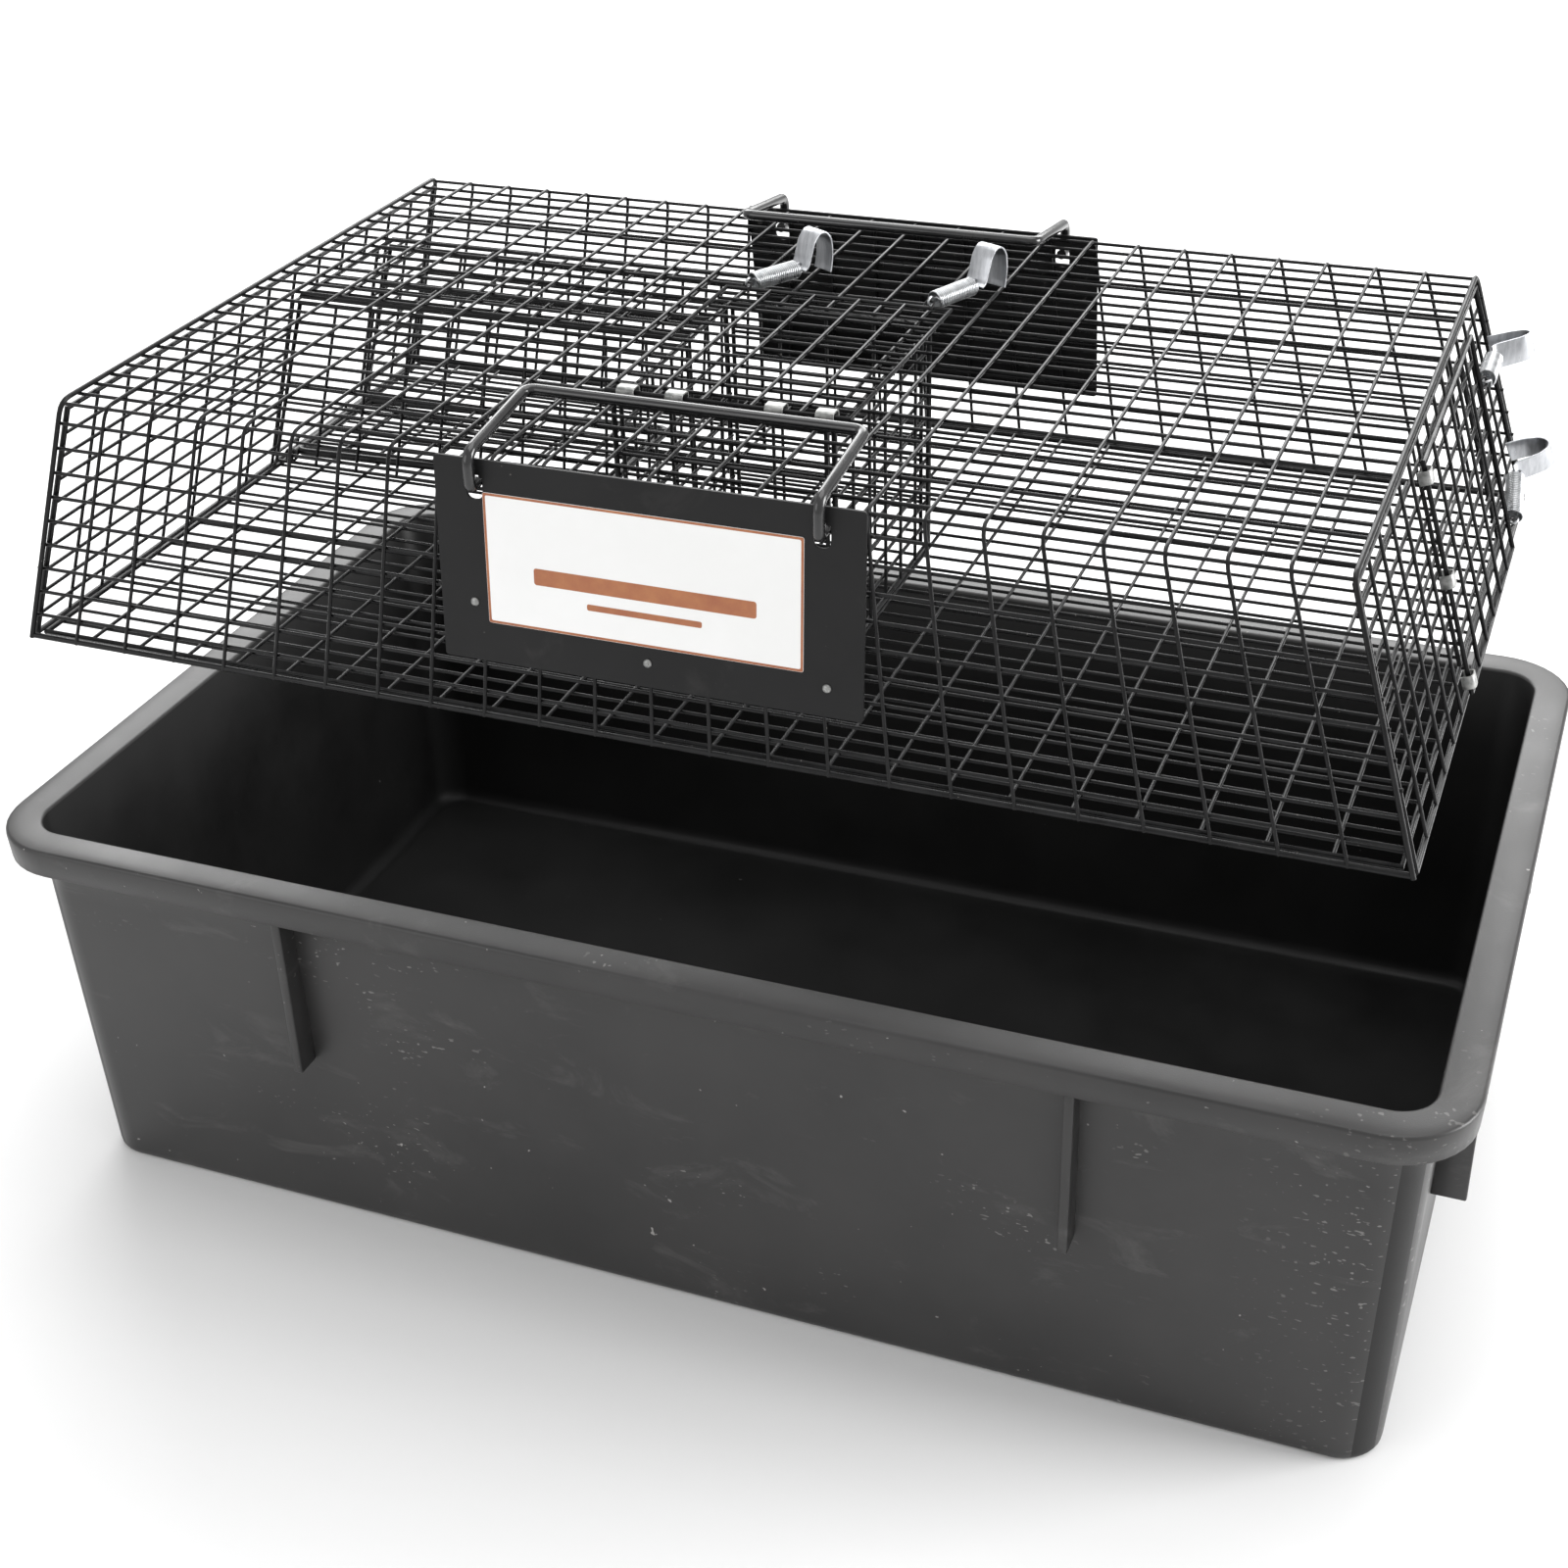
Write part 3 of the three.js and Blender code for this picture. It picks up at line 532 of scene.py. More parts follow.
def sheet_strip(profile, width, thickness, place, smooth=True):
    """Sheet metal bent to a profile in YZ, its width along X; a smooth one has no corners."""
    curve = bpy.data.curves.new("bench", "CURVE")
    curve.dimensions = "2D"
    curve.fill_mode = "NONE"
    curve.extrude = width / 2
    if smooth:
        spline = curve.splines.new("BEZIER")
        spline.bezier_points.add(len(profile) - 1)
        spline.resolution_u = 6
        for knot, (y, z) in zip(spline.bezier_points, profile):
            knot.co = (y, z, 0)
            knot.handle_left_type = knot.handle_right_type = "AUTO"
    else:
        spline = curve.splines.new("POLY")
        spline.points.add(len(profile) - 1)
        for knot, (y, z) in zip(spline.points, profile):
            knot.co = (y, z, 0, 1)
    bench = bpy.data.objects.new("bench", curve)
    bpy.context.collection.objects.link(bench)
    strip = bpy.data.objects.new("bench", baked(bench))
    bpy.context.collection.objects.link(strip)
    thick = strip.modifiers.new("sheet", "SOLIDIFY")
    thick.thickness = thickness
    thick.offset = 0
    soft = strip.modifiers.new("edges", "BEVEL")
    soft.width = SHEET_EDGE
    soft.segments = 2
    soft.limit_method = "ANGLE"
    soft.angle_limit = CREASE
    shape = baked(strip)
    shape.transform(place @ Matrix(((0, 0, 1, 0), (1, 0, 0, 0), (0, 1, 0, 0), (0, 0, 0, 1))))
    return shape


clip_corners = [Vector((0, y, z)) for y, z in (
    (-CLIP_HALF, CLIP_FOOT), (-CLIP_HALF, CLIP_HEAD), (CLIP_HALF, CLIP_HEAD), (CLIP_HALF, CLIP_FOOT))]
clip_profile = [(p.y, p.z) for p in rounded(clip_corners, CLIP_BEND, steps=5)]
top_clips = [on_roof(x, TOP_DOOR[2] + HINGE_INSET) for x in TOP_CLIPS]
end_clips = [on_end(END_DOOR[0] + HINGE_INSET, z) for z in END_CLIPS]
for door_name, width, places in (("top", TOP_CLIP_WIDTH, top_clips), ("end", END_CLIP_WIDTH, end_clips)):
    for i, place in enumerate(places, 1):
        strip = sheet_strip(clip_profile, width, CLIP_SHEET, CAGE @ place, smooth=False)
        piece(f"{door_name}_hinge_clip_{i}", strip, dull_zinc, "cage", "galvanised",
              f"{door_name}_door_clip_{i}")

# ---------------------------------------------------------------------------------------------
# Latches: a close-coiled zinc-plated spring hangs on the door's bail and pulls a strap of bright
# sheet that rises steeply, curls over and drops its lip behind a wire of the cage.
SPRING_START, SPRING_LENGTH, SPRING_HEIGHT = 3.4, 29.2, 6
COIL_RADIUS, COIL_WIRE, COIL_GAP, COIL_STEPS = 4.35, 0.6, 0.03, 14
NEAR_EYE, FAR_EYE, FAR_EYE_INSET, EYE_STEPS = 2.3, 2.7, 1.4, 16
STRAP_START, STRAP_WIDTH, STRAP_SHEET = 33.4, 13, 1
CURL = ((0, 6), (2.4, 7.5), (5, 14), (8, 21), (12.5, 24), (17, 21.5), (19, 14), (18.5, 6), (17.6, 1.6))

bright_zinc = finish(
    "Bright zinc spring", 0.2, 0.04, {"Metallic": 1.0},
    colour=(0.4, 0.41, 0.42, 1), other_colour=(0.56, 0.57, 0.58, 1), speck_colour=(0.2, 0.19, 0.18, 1),
    patch_scale=200, speck_scale=900, speck_level=0.75, smoothest=0.24, roughest=0.4, grain_scale=2500)
pressed_sheet = finish(
    "Pressed bright sheet", 0.4, 0.06, {"Metallic": 1.0}, stretch=(6, 1, 1),
    colour=(0.38, 0.39, 0.41, 1), other_colour=(0.55, 0.56, 0.58, 1), speck_colour=(0.2, 0.19, 0.18, 1),
    patch_scale=90, speck_scale=600, speck_level=0.72, smoothest=0.26, roughest=0.45, grain_scale=1200)


def coil(place):
    """A close-coiled spring: an eye at the door, the coil, and an eye through the strap."""
    turns = int(SPRING_LENGTH / (2 * COIL_WIRE + COIL_GAP))
    steps = COIL_STEPS * turns
    helix = []
    for i in range(steps + 1):
        a = 2 * math.pi * turns * i / steps
        y = SPRING_START + COIL_WIRE + (SPRING_LENGTH - 2 * COIL_WIRE) * i / steps
        helix.append(Vector((COIL_RADIUS * math.cos(a), y, SPRING_HEIGHT + COIL_RADIUS * math.sin(a))))
    near = circle((0, *BAIL_HEAD), NEAR_EYE, (0, 1, 0), (0, 0, 1), EYE_STEPS)
    far_middle = (0, STRAP_START + FAR_EYE_INSET, SPRING_HEIGHT)
    far = circle(far_middle, FAR_EYE, (0, 1, 0), (0, 0, 1), EYE_STEPS)
    # The ends of the wire rise over the coil to meet the eyes.
    lead_in = [Vector((0, 3.7, 6.6)), Vector((1.6, 3.9, 8)), helix[0] + Vector((0, -0.1, 1.4))]
    lead_out = [helix[-1] + Vector((-0.8, 0.3, 1.6)), Vector((1.2, STRAP_START - 0.6, 7.6)),
                Vector((0, STRAP_START - 0.5, 7.2))]
    strands = [(lead_in + helix + lead_out, COIL_WIRE, False), (near, COIL_WIRE, True),
               (far, COIL_WIRE, True)]
    return bent_wires(strands, place)


for name, latch_place in {**top_latch_places, **end_latch_places}.items():
    place = CAGE @ latch_place
    piece(name + "_coil", coil(place), bright_zinc, name, "galvanised", name + "_spring")
    profile = [(STRAP_START + y, height) for y, height in CURL]
    strap = sheet_strip(profile, STRAP_WIDTH, STRAP_SHEET, place)
    piece(name + "_curl", strap, pressed_sheet, name, "galvanised", name + "_strap")

# ---------------------------------------------------------------------------------------------
# Wall plates: black painted sheet on the front and back walls, with two slots for the handle
# and small rivets; the front one carries a printed film label.
PLATE_HALF, PLATE_FOOT, PLATE_HEAD, PLATE_SHEET = 103, 31, 129, 1.5
PLATE_CORNER, PLATE_BEVEL = 2, 0.25
SLOT_X, SLOT_Z = 83, 117
SLOT_HALF, SLOT_BELOW, SLOT_ABOVE, SLOT_CORNER = 4, 7, 5, 3.9
PLATE_OFFSET = 0.4
PLATE_FACE = PLATE_OFFSET + PLATE_SHEET
RIVETS = ((-86, 60), (0, 43), (86, 45))
# A rivet's head as radius and height, from the middle of its foot to its crown.
RIVET_HEAD = ((0, 0), (2.1, 0), (2.15, 0.2), (1.9, 0.65), (1.4, 1), (0.8, 1.2), (0, 1.3))
RIVET_STEPS = 20

black_paint = finish(
    "Black satin paint on sheet", 0.25, 0.08, {"Specular IOR Level": 0.26},
    colour=(0.005, 0.005, 0.0053, 1), other_colour=(0.010, 0.010, 0.0103, 1),
    speck_colour=(0.1, 0.095, 0.09, 1),
    patch_scale=14, speck_scale=420, speck_level=0.76, smoothest=0.38, roughest=0.55, grain_scale=1400)


def on_wall(side):
    """A frame on a long wall: X along it, Y up it, Z out of it."""
    foot, head = (front_y(0), front_y(CAGE_HEIGHT)) if side < 0 else (back_y(0), back_y(CAGE_HEIGHT))
    up = Vector((0, head - foot, CAGE_HEIGHT)).normalized()
    along = Vector((-side, 0, 0))
    turn = Matrix((along, up, along.cross(up))).transposed().to_4x4()
    return Matrix.Translation((0, foot, 0)) @ turn


def round_corners(x0, x1, y0, y1, radius):
    """The outline of a rectangle with rounded corners."""
    corners = [Vector((x, y, 0)) for x, y in ((x0, y0), (x1, y0), (x1, y1), (x0, y1))]
    return ring_path(corners, radius, steps=6)


def cut_sheet(outlines, offset, thickness, bevel, place):
    """Flat sheet cut to an outline with holes; its lower face stands off by the offset."""
    curve = bpy.data.curves.new("bench", "CURVE")
    curve.dimensions = "2D"
    curve.fill_mode = "BOTH"
    curve.bevel_depth = bevel
    curve.bevel_resolution = 1
    curve.offset = -bevel
    curve.extrude = thickness / 2 - bevel
    for outline in outlines:
        spline = curve.splines.new("POLY")
        spline.points.add(len(outline) - 1)
        for knot, spot in zip(spline.points, outline):
            knot.co = (*spot, 1)
        spline.use_cyclic_u = True
    bench = bpy.data.objects.new("bench", curve)
    bpy.context.collection.objects.link(bench)
    shape = baked(bench)
    shape.transform(place @ Matrix.Translation((0, 0, offset + thickness / 2)))
    return shape


def rivet(place):
    """A rivet's head, its profile spun once round its own Z axis."""
    bm = bmesh.new()
    line = [bm.verts.new((r, 0, z)) for r, z in RIVET_HEAD]
    edges = [bm.edges.new(pair) for pair in zip(line, line[1:])]
    bmesh.ops.spin(bm, geom=line + edges, cent=(0, 0, 0), axis=(0, 0, 1), angle=2 * math.pi,
                   steps=RIVET_STEPS, use_merge=True)
    bmesh.ops.remove_doubles(bm, verts=bm.verts, dist=1e-4)
    bmesh.ops.recalc_face_normals(bm, faces=bm.faces)
    shape = bpy.data.meshes.new("bench")
    bm.to_mesh(shape)
    bm.free()
    shape.transform(place)
    return shape


for side_name, side in (("front", -1), ("back", 1)):
    outlines = [round_corners(-PLATE_HALF, PLATE_HALF, PLATE_FOOT, PLATE_HEAD, PLATE_CORNER)]
    outlines += [round_corners(x - SLOT_HALF, x + SLOT_HALF, SLOT_Z - SLOT_BELOW, SLOT_Z + SLOT_ABOVE,
                               SLOT_CORNER) for x in (-SLOT_X, SLOT_X)]
    place = CAGE @ on_wall(side)
    plate = cut_sheet(outlines, PLATE_OFFSET, PLATE_SHEET, PLATE_BEVEL, place)
    piece(side_name + "_wall_plate", plate, black_paint, "cage", "black_plate", side_name + "_plate")
    for i, (x, z) in enumerate(RIVETS, 1):
        spot = place @ Matrix.Translation((x, z, PLATE_FACE))
        piece(f"{side_name}_rivet_{i}", rivet(spot), dull_zinc, "cage", "galvanised",
              f"{side_name}_plate_rivet_{i}")

# The label is a white film with a thin brown border and two plain bars, and no lettering.
LABEL = (-79, 75, 51, 114)
LABEL_SHEET, LABEL_GAP, LABEL_CORNER, LABEL_BEVEL = 0.3, 0.02, 1.2, 0.06
PRINT_SHEET, PRINT_CORNER, PRINT_BEVEL = 0.08, 1, 0.01
BORDER_INSETS = (0.15, 1.3)
# Each bar is its margins left and right, its foot, its head and its corner.
BARS = ((24, 22, 73, 81, 1.5), (50, 48, 64.5, 67.5, 1))
label_film = finish(
    "White label film", 0.1, 0.02, {"Coat Weight": 0.3, "Coat Roughness": 0.2},
    colour=(0.86, 0.86, 0.85, 1), other_colour=(0.9, 0.9, 0.895, 1), speck_colour=(0.55, 0.5, 0.44, 1),
    patch_scale=12, speck_scale=260, speck_level=0.78, smoothest=0.3, roughest=0.42, grain_scale=900)
label_ink = finish(
    "Brown label print", 0.1, 0.02, {"Coat Weight": 0.3, "Coat Roughness": 0.2},
    colour=(0.34, 0.10, 0.035, 1), other_colour=(0.42, 0.15, 0.05, 1), speck_colour=(0.6, 0.4, 0.25, 1),
    patch_scale=80, speck_scale=600, speck_level=0.76, smoothest=0.3, roughest=0.42, grain_scale=900)
x0, x1, z0, z1 = LABEL
place = CAGE @ on_wall(-1)
outline = [round_corners(x0, x1, z0, z1, LABEL_CORNER)]
film = cut_sheet(outline, PLATE_FACE + LABEL_GAP, LABEL_SHEET, LABEL_BEVEL, place)
piece("label_film", film, label_film, "cage", "label", "front_label")
border = [round_corners(x0 + d, x1 - d, z0 + d, z1 - d, PRINT_CORNER) for d in BORDER_INSETS]
bars = [round_corners(x0 + near, x1 - far, foot, head, bend) for near, far, foot, head, bend in BARS]
ink = cut_sheet(border + bars, PLATE_FACE + LABEL_SHEET, PRINT_SHEET, PRINT_BEVEL, place)
piece("label_print", ink, label_ink, "cage", "label")

# ---------------------------------------------------------------------------------------------
# Carrying handles: heavy black rod bent to a U whose ends hook in through the plate slots.
# They lie folded in over the roof.
HANDLE_ROD = 2.75
HANDLE_Y = {"front": -198.4, "back": 191.1}
HANDLE_REACH = 60
HANDLE_RISE = CAGE_HEIGHT + HANDLE_ROD + 1.2
HANDLE_TOP = CAGE_HEIGHT + 12
HOOK_LENGTH, HOOK_DROP, HANDLE_BEND = 6.5, 1, 6

gloss_rod = finish(
    "Gloss black rod", 0.25, 0.08, {"Coat Weight": 0.4, "Coat Roughness": 0.12},
    colour=(0.006, 0.006, 0.0065, 1), other_colour=(0.013, 0.013, 0.0135, 1),
    speck_colour=(0.13, 0.12, 0.11, 1),
    patch_scale=50, speck_scale=450, speck_level=0.76, smoothest=0.14, roughest=0.3, grain_scale=700)
for side_name, side in (("front", -1), ("back", 1)):
    y = HANDLE_Y[side_name]
    leg = [(SLOT_X, y - side * HOOK_LENGTH, SLOT_Z), (SLOT_X, y, SLOT_Z - HOOK_DROP),
           (SLOT_X, y, HANDLE_RISE), (SLOT_X, y - side * HANDLE_REACH, HANDLE_TOP)]
    path = [Vector((-px, py, pz)) for px, py, pz in leg] + [Vector(p) for p in reversed(leg)]
    rod = bent_wires([(rounded(path, HANDLE_BEND, steps=6), HANDLE_ROD, False)], CAGE, sides=14)
    piece(side_name + "_handle_rod", rod, gloss_rod, side_name + "_handle", "black_wire",
          side_name + "_handle")

# ---------------------------------------------------------------------------------------------
# Tub: one injection moulding in dark grey plastic. Drafted walls, a flat rim turned down into a
# skirt, and thin gussets under the rim; faint texture, scuffs and pale dust.
TUB_LENGTH, TUB_WIDTH, TUB_HEIGHT = 770, 460, 220
RIM_OVERHANG, RIM_CORNER, SKIRT_FOOT = 17, 41, TUB_HEIGHT - 16
TUB_DRAFT, TUB_WALL, TUB_CORNER, LEAST_CORNER = 6, 3, 22, 4
# The section, ring by ring: outside from the foot up, round the rim and its skirt, and down the
# inside. A ring is its height and how far it stands out, or on the rim and the inside, in.
OUTSIDE = ((0, -4.5), (0.4, -2.4), (1.3, -0.9), (2.8, -0.2), (5, 0), (60, 0), (120, 0), (180, 0),
           (TUB_HEIGHT - 4, 0), (TUB_HEIGHT - 3, 1))
RIM = ((TUB_HEIGHT - 3, 4), (TUB_HEIGHT - 4, 3.1), (SKIRT_FOOT + 0.4, 3), (SKIRT_FOOT, 2.6),
       (SKIRT_FOOT, 1.2), (SKIRT_FOOT + 0.4, 0.8), (TUB_HEIGHT - 2.2, 0), (TUB_HEIGHT - 1, 0.25),
       (TUB_HEIGHT - 0.3, 0.9), (TUB_HEIGHT, 2), (TUB_HEIGHT - 0.15, 8))
INSIDE = ((TUB_HEIGHT, -1.9), (TUB_HEIGHT - 0.3, -0.8), (TUB_HEIGHT - 1.4, 0), (150, 0), (80, 0),
          (12, 0), (6.4, 0.9), (4, 2.8), (TUB_WALL, 6))
# A gusset starts a little inside the wall, which leans away from it below.
GUSSET_WIDTH, GUSSET_ROOT, GUSSET_EDGE, GUSSET_GAP = 5, 3, 0.8, 0.2
FRONT_GUSSET = {"offset": 208, "reach": 14, "drop": 114}
END_GUSSET = {"offset": 138, "reach": 17, "drop": 100}
TUB = Matrix.Diagonal((MM, MM, MM, 1))


def tub_shell():
    """The moulding without its gussets: rounded rectangles bridged one to the next."""
    top_l, top_w = TUB_LENGTH - 2 * RIM_OVERHANG, TUB_WIDTH - 2 * RIM_OVERHANG

    def outer(z, grow=0):
        inward = 2 * TUB_DRAFT * (1 - z / TUB_HEIGHT)
        return top_l - inward + 2 * grow, top_w - inward + 2 * grow, TUB_CORNER + grow, z

    def inside(z, shrink):
        length, width, corner, _ = outer(z)
        wall = 2 * (TUB_WALL + shrink)
        return length - wall, width - wall, max(corner - wall / 2, LEAST_CORNER), z

    def rim(z, shrink):
        return TUB_LENGTH - 2 * shrink, TUB_WIDTH - 2 * shrink, RIM_CORNER - shrink, z

    rings = [outer(*ring) for ring in OUTSIDE]
    rings += [rim(*ring) for ring in RIM]
    rings += [inside(*ring) for ring in INSIDE]
    bm = bmesh.new()
    faces = []
    for ring in rings:
        length, width, radius, z = ring
        made = bmesh.ops.create_grid(bm, x_segments=1, y_segments=1, size=0.5)["verts"]
        bmesh.ops.scale(bm, vec=(length, width, 1), verts=made)
        bmesh.ops.translate(bm, vec=(0, 0, z), verts=made)
        old = set(bm.faces) - {f for v in made for f in v.link_faces}
        bmesh.ops.bevel(bm, geom=made, offset=radius, segments=10, profile=0.5, affect="VERTICES",
                        material=-1)
        faces.append(next(f for f in bm.faces if f not in old))
    loops = [list(f.edges) for f in faces]
    for face in faces[1:-1]:
        bm.faces.remove(face)
    for low_loop, high_loop in zip(loops, loops[1:]):
        bmesh.ops.bridge_loops(bm, edges=low_loop + high_loop)
    bmesh.ops.recalc_face_normals(bm, faces=bm.faces)
    return bm


def gusset(bm, x, y, reach_x, reach_y, drop):
    """A thin web from the wall out to the skirt, cut off square at its foot."""
    made = bmesh.ops.create_cube(bm, size=1)["verts"]
    low, high = TUB_HEIGHT - drop, TUB_HEIGHT - TUB_WALL - GUSSET_GAP
    bmesh.ops.scale(bm, vec=(reach_x, reach_y, high - low), verts=made)
    bmesh.ops.translate(bm, vec=(x, y, (low + high) / 2), verts=made)
    edges = list({e for v in made for e in v.link_edges})
    bmesh.ops.bevel(bm, geom=edges, offset=GUSSET_EDGE, segments=2, profile=0.5, affect="EDGES",
                    material=-1)


shell = tub_shell()
wall_x = TUB_LENGTH / 2 - RIM_OVERHANG - GUSSET_ROOT
wall_y = TUB_WIDTH / 2 - RIM_OVERHANG - GUSSET_ROOT
for side in (-1, 1):
    for hand in (-1, 1):
        reach, drop = FRONT_GUSSET["reach"], FRONT_GUSSET["drop"]
        gusset(shell, hand * FRONT_GUSSET["offset"], side * (wall_y + reach / 2), GUSSET_WIDTH, reach, drop)
        reach, drop = END_GUSSET["reach"], END_GUSSET["drop"]
        gusset(shell, side * (wall_x + reach / 2), hand * END_GUSSET["offset"], reach, GUSSET_WIDTH, drop)
tub_shape = bpy.data.meshes.new("tub_moulding")
shell.to_mesh(tub_shape)
shell.free()
tub_shape.transform(TUB)

tub_plastic = finish(
    "Dark grey moulded plastic", 0.3, 0.15, {"Specular IOR Level": 0.45},
    colour=(0.023, 0.0225, 0.0225, 1), other_colour=(0.034, 0.033, 0.0327, 1),
    speck_colour=(0.3, 0.29, 0.28, 1),
    patch_scale=9, speck_scale=190, speck_level=0.75, smoothest=0.3, roughest=0.45, grain_scale=1300)

# Scuffs: short rubbed streaks and clustered pale nicks laid over a finish.
scuffs, give, take = effect_group(
    "Scuffs and nicks",
    [("Place", "NodeSocketVector", None), ("Colour", "NodeSocketColor", None),
     ("Scuff colour", "NodeSocketColor", None), ("Streak scale", "NodeSocketFloat", 20),
     ("Streak level", "NodeSocketFloat", 0.6), ("Streak strength", "NodeSocketFloat", 0.4),
     ("Knocked", "NodeSocketFloat", 0.0)],
    [("Colour", "NodeSocketColor")])
streaks = add(scuffs, "ShaderNodeTexNoise", {
    "Vector": give.outputs["Place"], "Scale": give.outputs["Streak scale"], "Detail": 7.0, "Roughness": 0.68,
    "Distortion": 0.6})
streak_top = add(scuffs, "ShaderNodeMath", {0: give.outputs["Streak level"], 1: 0.16}, operation="ADD")
streak_mask = add(scuffs, "ShaderNodeMapRange", {
    "Value": streaks.outputs["Fac"], "From Min": give.outputs["Streak level"],
    "From Max": streak_top.outputs[0], "To Max": give.outputs["Streak strength"]})
nicks = add(scuffs, "ShaderNodeTexNoise", {"Vector": give.outputs["Place"], "Scale": 230.0, "Detail": 1.0})
nick_mask = add(scuffs, "ShaderNodeMapRange", {
    "Value": nicks.outputs["Fac"], "From Min": 0.68, "From Max": 0.72})
cluster = add(scuffs, "ShaderNodeTexNoise", {"Vector": give.outputs["Place"], "Scale": 9.0, "Detail": 2.0})
cluster_mask = add(scuffs, "ShaderNodeMapRange", {
    "Value": cluster.outputs["Fac"], "From Min": 0.6, "From Max": 0.68})
knocked_mask = add(scuffs, "ShaderNodeMath", {0: cluster_mask.outputs[0], 1: give.outputs["Knocked"]},
                   operation="MAXIMUM")
nicked = add(scuffs, "ShaderNodeMath", {0: nick_mask.outputs[0], 1: knocked_mask.outputs[0]},
             operation="MULTIPLY")
rubbed = add(scuffs, "ShaderNodeMath", {0: streak_mask.outputs[0], 1: nicked.outputs[0]}, operation="MAXIMUM")
overlaid = add(scuffs, "ShaderNodeMix", {
    "Factor": rubbed.outputs[0], MIX_FROM: give.outputs["Colour"], MIX_TO: give.outputs["Scuff colour"]},
    data_type="RGBA")
scuffs.links.new(overlaid.outputs[MIX_COLOUR], take.inputs["Colour"])


def scuffed(material, scuff_colour, stretch=(1, 1, 1), **values):
    """Lays the scuffs group over a material's colour."""
    tree = material.node_tree
    surface = next(n for n in tree.nodes if n.type == "BSDF_PRINCIPLED")
    colour_from = surface.inputs["Base Color"].links[0].from_socket
    where = add(tree, "ShaderNodeTexCoord")
    turned = add(tree, "ShaderNodeMapping", {"Vector": where.outputs["Object"], "Scale": stretch})
    over = tree.nodes.new("ShaderNodeGroup")
    over.node_tree = scuffs
    over.inputs["Scuff colour"].default_value = scuff_colour
    for key, value in values.items():
        over.inputs[key.replace("_", " ").capitalize()].default_value = value
    tree.links.new(turned.outputs["Vector"], over.inputs["Place"])
    tree.links.new(colour_from, over.inputs["Colour"])
    tree.links.new(over.outputs["Colour"], surface.inputs["Base Color"])


scuffed(tub_plastic, (0.16, 0.157, 0.152, 1), (1, 1, 2.2), streak_scale=16, streak_level=0.57,
        streak_strength=0.25)
# The front corner at the release end is the one that gets knocked: nicks fade out round a point
# on it, in metres, over a range that is taller than it is wide.
KNOCKED_SPOT, KNOCKED_SHAPE = (0.352, -0.202, 0.13), (1, 1, 0.35)
tree = tub_plastic.node_tree
spot = add(tree, "ShaderNodeTexCoord")
from_corner = add(tree, "ShaderNodeVectorMath", {0: spot.outputs["Object"], 1: KNOCKED_SPOT},
                  operation="SUBTRACT")
squashed = add(tree, "ShaderNodeVectorMath", {0: from_corner.outputs[0], 1: KNOCKED_SHAPE},
               operation="MULTIPLY")
reach = add(tree, "ShaderNodeVectorMath", {0: squashed.outputs[0]}, operation="LENGTH")
knocked = add(tree, "ShaderNodeMapRange", {
    "Value": reach.outputs["Value"], "From Min": 0.07, "From Max": 0.015})
over = next(n for n in tree.nodes if n.type == "GROUP" and n.node_tree == scuffs)
tree.links.new(knocked.outputs[0], over.inputs["Knocked"])
scuffed(black_paint, (0.06, 0.058, 0.056, 1), streak_scale=24, streak_level=0.6, streak_strength=0.25)
# A darker copy of the same plastic for the inner faces: painted shade, standing in for the shadow inside the
# tub.
tub_inside_painted_shade = finish(
    "Dark grey moulded plastic, painted inner shade", 0.3, 0.15, {"Specular IOR Level": 0.35},
    colour=(0.006, 0.0059, 0.0059, 1), other_colour=(0.010, 0.0098, 0.0098, 1),
    speck_colour=(0.12, 0.118, 0.115, 1),
    patch_scale=9, speck_scale=210, speck_level=0.78, smoothest=0.4, roughest=0.55, grain_scale=1300)
piece("tub_moulding", tub_shape, [tub_plastic, tub_inside_painted_shade], "tub", "tub_plastic", "tub")
# The inner faces take the darker copy of the plastic, a painted shade for the inside of the tub, from the
# bottom up to just under the rim.
INNER_FOOT, INNER_HEAD, INNER_MARGIN = 2.5, TUB_HEIGHT - 2, 0.5
for face in tub_shape.polygons:
    x, y, z = face.center / MM
    lean_in = TUB_DRAFT * (1 - z / TUB_HEIGHT) + RIM_OVERHANG + TUB_WALL - INNER_MARGIN
    within = abs(x) < TUB_LENGTH / 2 - lean_in and abs(y) < TUB_WIDTH / 2 - lean_in
    face.material_index = 1 if within and INNER_FOOT < z < INNER_HEAD else 0

# ---------------------------------------------------------------------------------------------
# Studio, in metres: a plain pale floor, a wide soft light behind, soft lights overhead and at
# the release end, and a weak fill at the front; the camera looks down on the front right corner.
STUDIO_FLOOR, FLOOR_TONE, FLOOR_ROUGHNESS = 9, 0.82, 0.9
WORLD_STRENGTH = 0.75
CAMERA_PLACE, CAMERA_TURN = (0.40736, -1.04819, 0.87416), (58.9525, 1.4971, 21.2138)
CAMERA_LENS, CAMERA_SHIFT = 54.2, 0.002

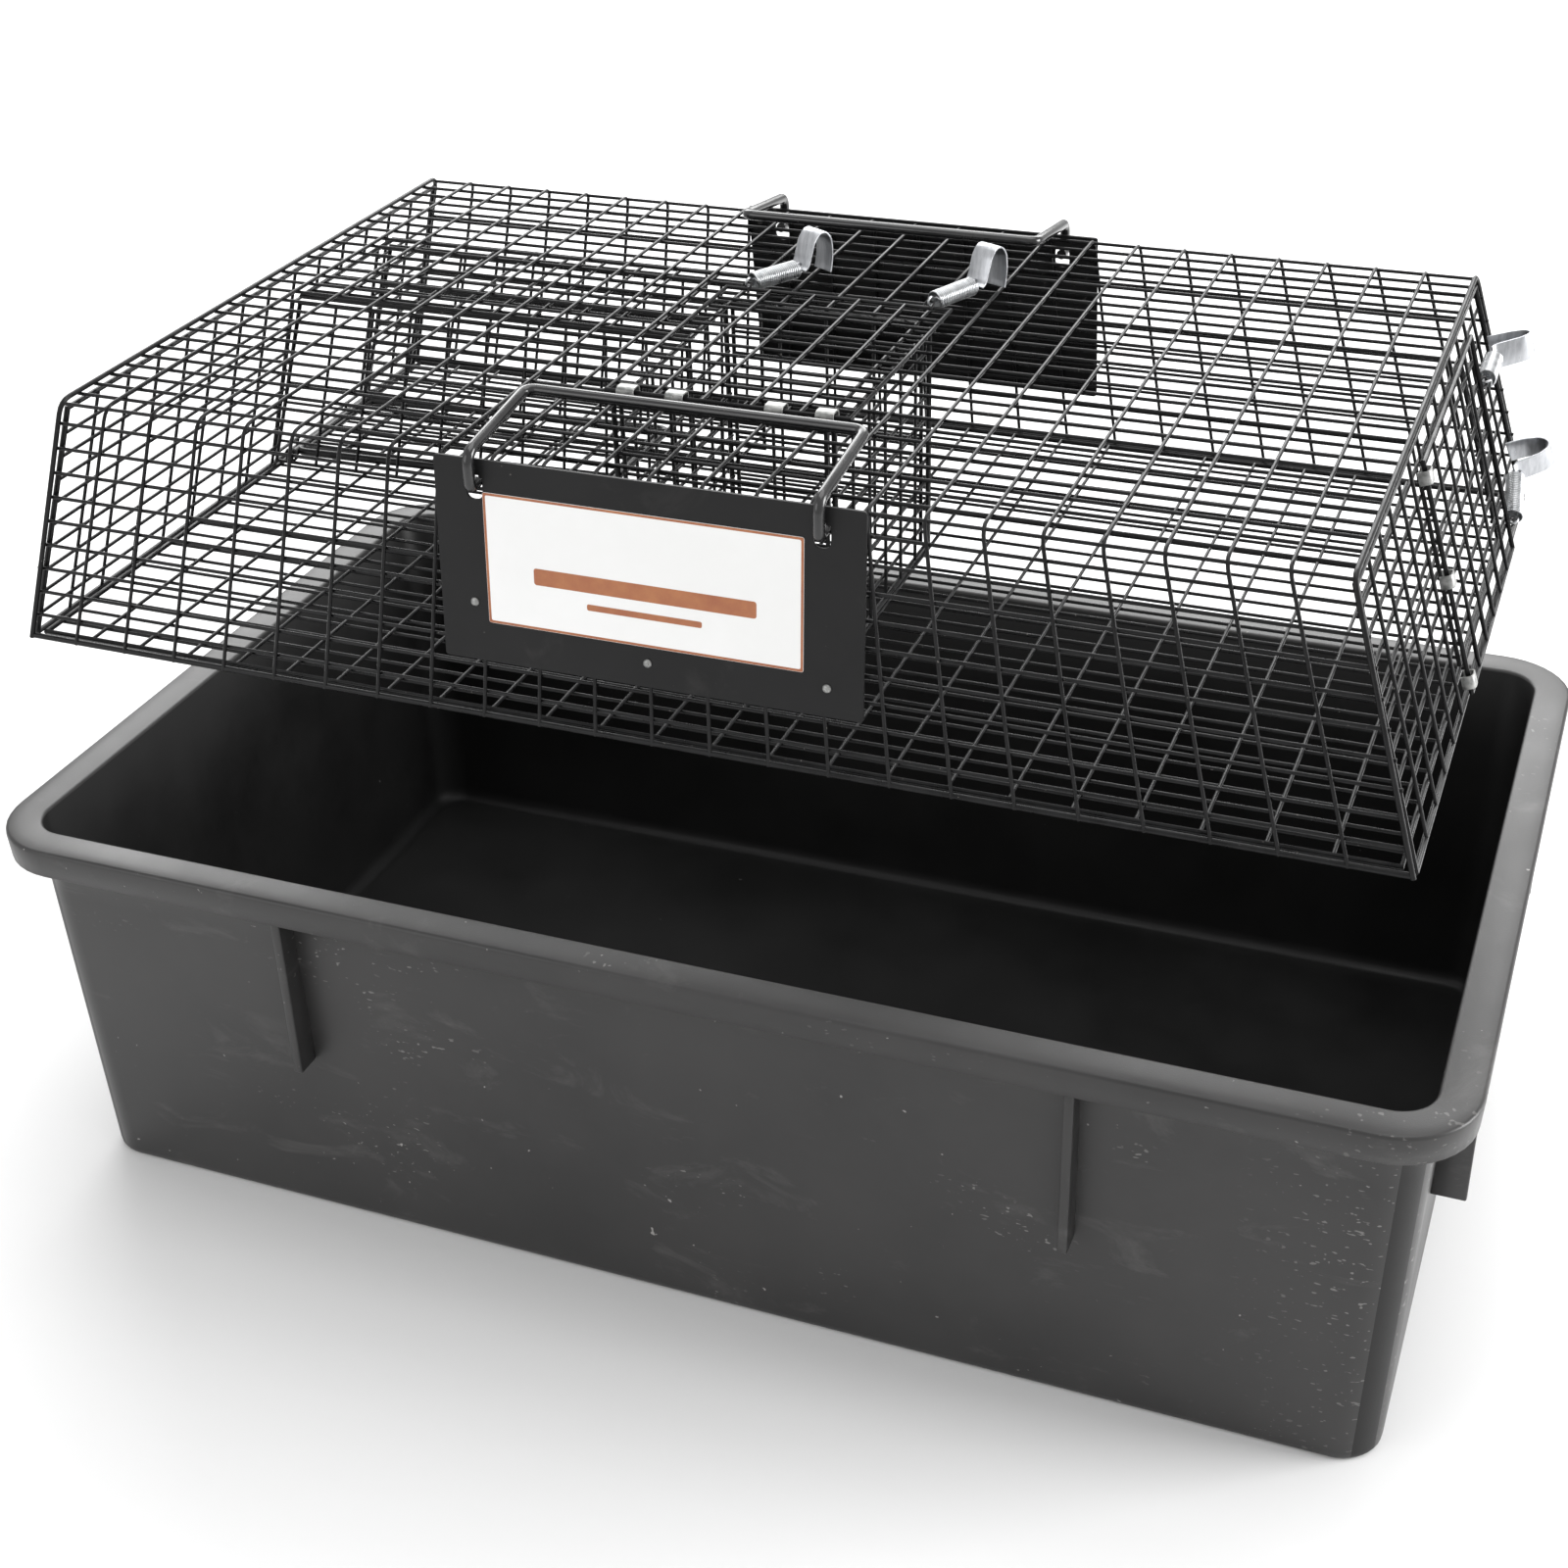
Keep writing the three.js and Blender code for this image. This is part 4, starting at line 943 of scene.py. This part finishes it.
floor_shape = bpy.data.meshes.new("studio_floor")
bm = bmesh.new()
bmesh.ops.create_grid(bm, x_segments=1, y_segments=1, size=STUDIO_FLOOR)
bm.to_mesh(floor_shape)
bm.free()
floor = bpy.data.objects.new("studio_floor", floor_shape)
bpy.context.collection.objects.link(floor)
pale = bpy.data.materials.new("Pale floor")
pale.use_nodes = True
pale_surface = pale.node_tree.nodes["Principled BSDF"]
pale_surface.inputs["Base Color"].default_value = (FLOOR_TONE, FLOOR_TONE, FLOOR_TONE, 1)
pale_surface.inputs["Roughness"].default_value = FLOOR_ROUGHNESS
floor_shape.materials.append(pale)

world = bpy.data.worlds.new("Studio")
bpy.context.scene.world = world
world.use_nodes = True
sky = world.node_tree.nodes["Background"]
sky.inputs["Color"].default_value = (1, 1, 1, 1)
sky.inputs["Strength"].default_value = WORLD_STRENGTH


def soft_light(name, spot, target, size, power):
    """A rectangular light at a spot, turned to face its target."""
    lamp = bpy.data.lights.new(name, "AREA")
    lamp.shape = "RECTANGLE"
    lamp.size, lamp.size_y = size
    lamp.energy = power
    made = bpy.data.objects.new(name, lamp)
    bpy.context.collection.objects.link(made)
    made.location = spot
    made.rotation_euler = (Vector(target) - Vector(spot)).to_track_quat("-Z", "Y").to_euler()


soft_light("back_panel", (-0.9, 2.6, 1.9), (0, 0, 0.25), (3.6, 1.6), 95)
soft_light("overhead", (0.1, 0.3, 2.6), (0, 0.05, 0.2), (2.4, 1.8), 30)
soft_light("release_end", (2.3, 0.5, 0.9), (0.2, 0, 0.2), (1.2, 1.2), 60)
soft_light("front_fill", (-1.4, -2.0, 1.2), (0, 0, 0.2), (1.4, 1.4), 11)

camera = bpy.data.objects.new("view", bpy.data.cameras.new("view"))
bpy.context.collection.objects.link(camera)
camera.location = CAMERA_PLACE
camera.rotation_euler = [math.radians(a) for a in CAMERA_TURN]
camera.data.lens = CAMERA_LENS
camera.data.shift_x = CAMERA_SHIFT
bpy.context.scene.camera = camera
bpy.context.scene.view_settings.view_transform = "Standard"
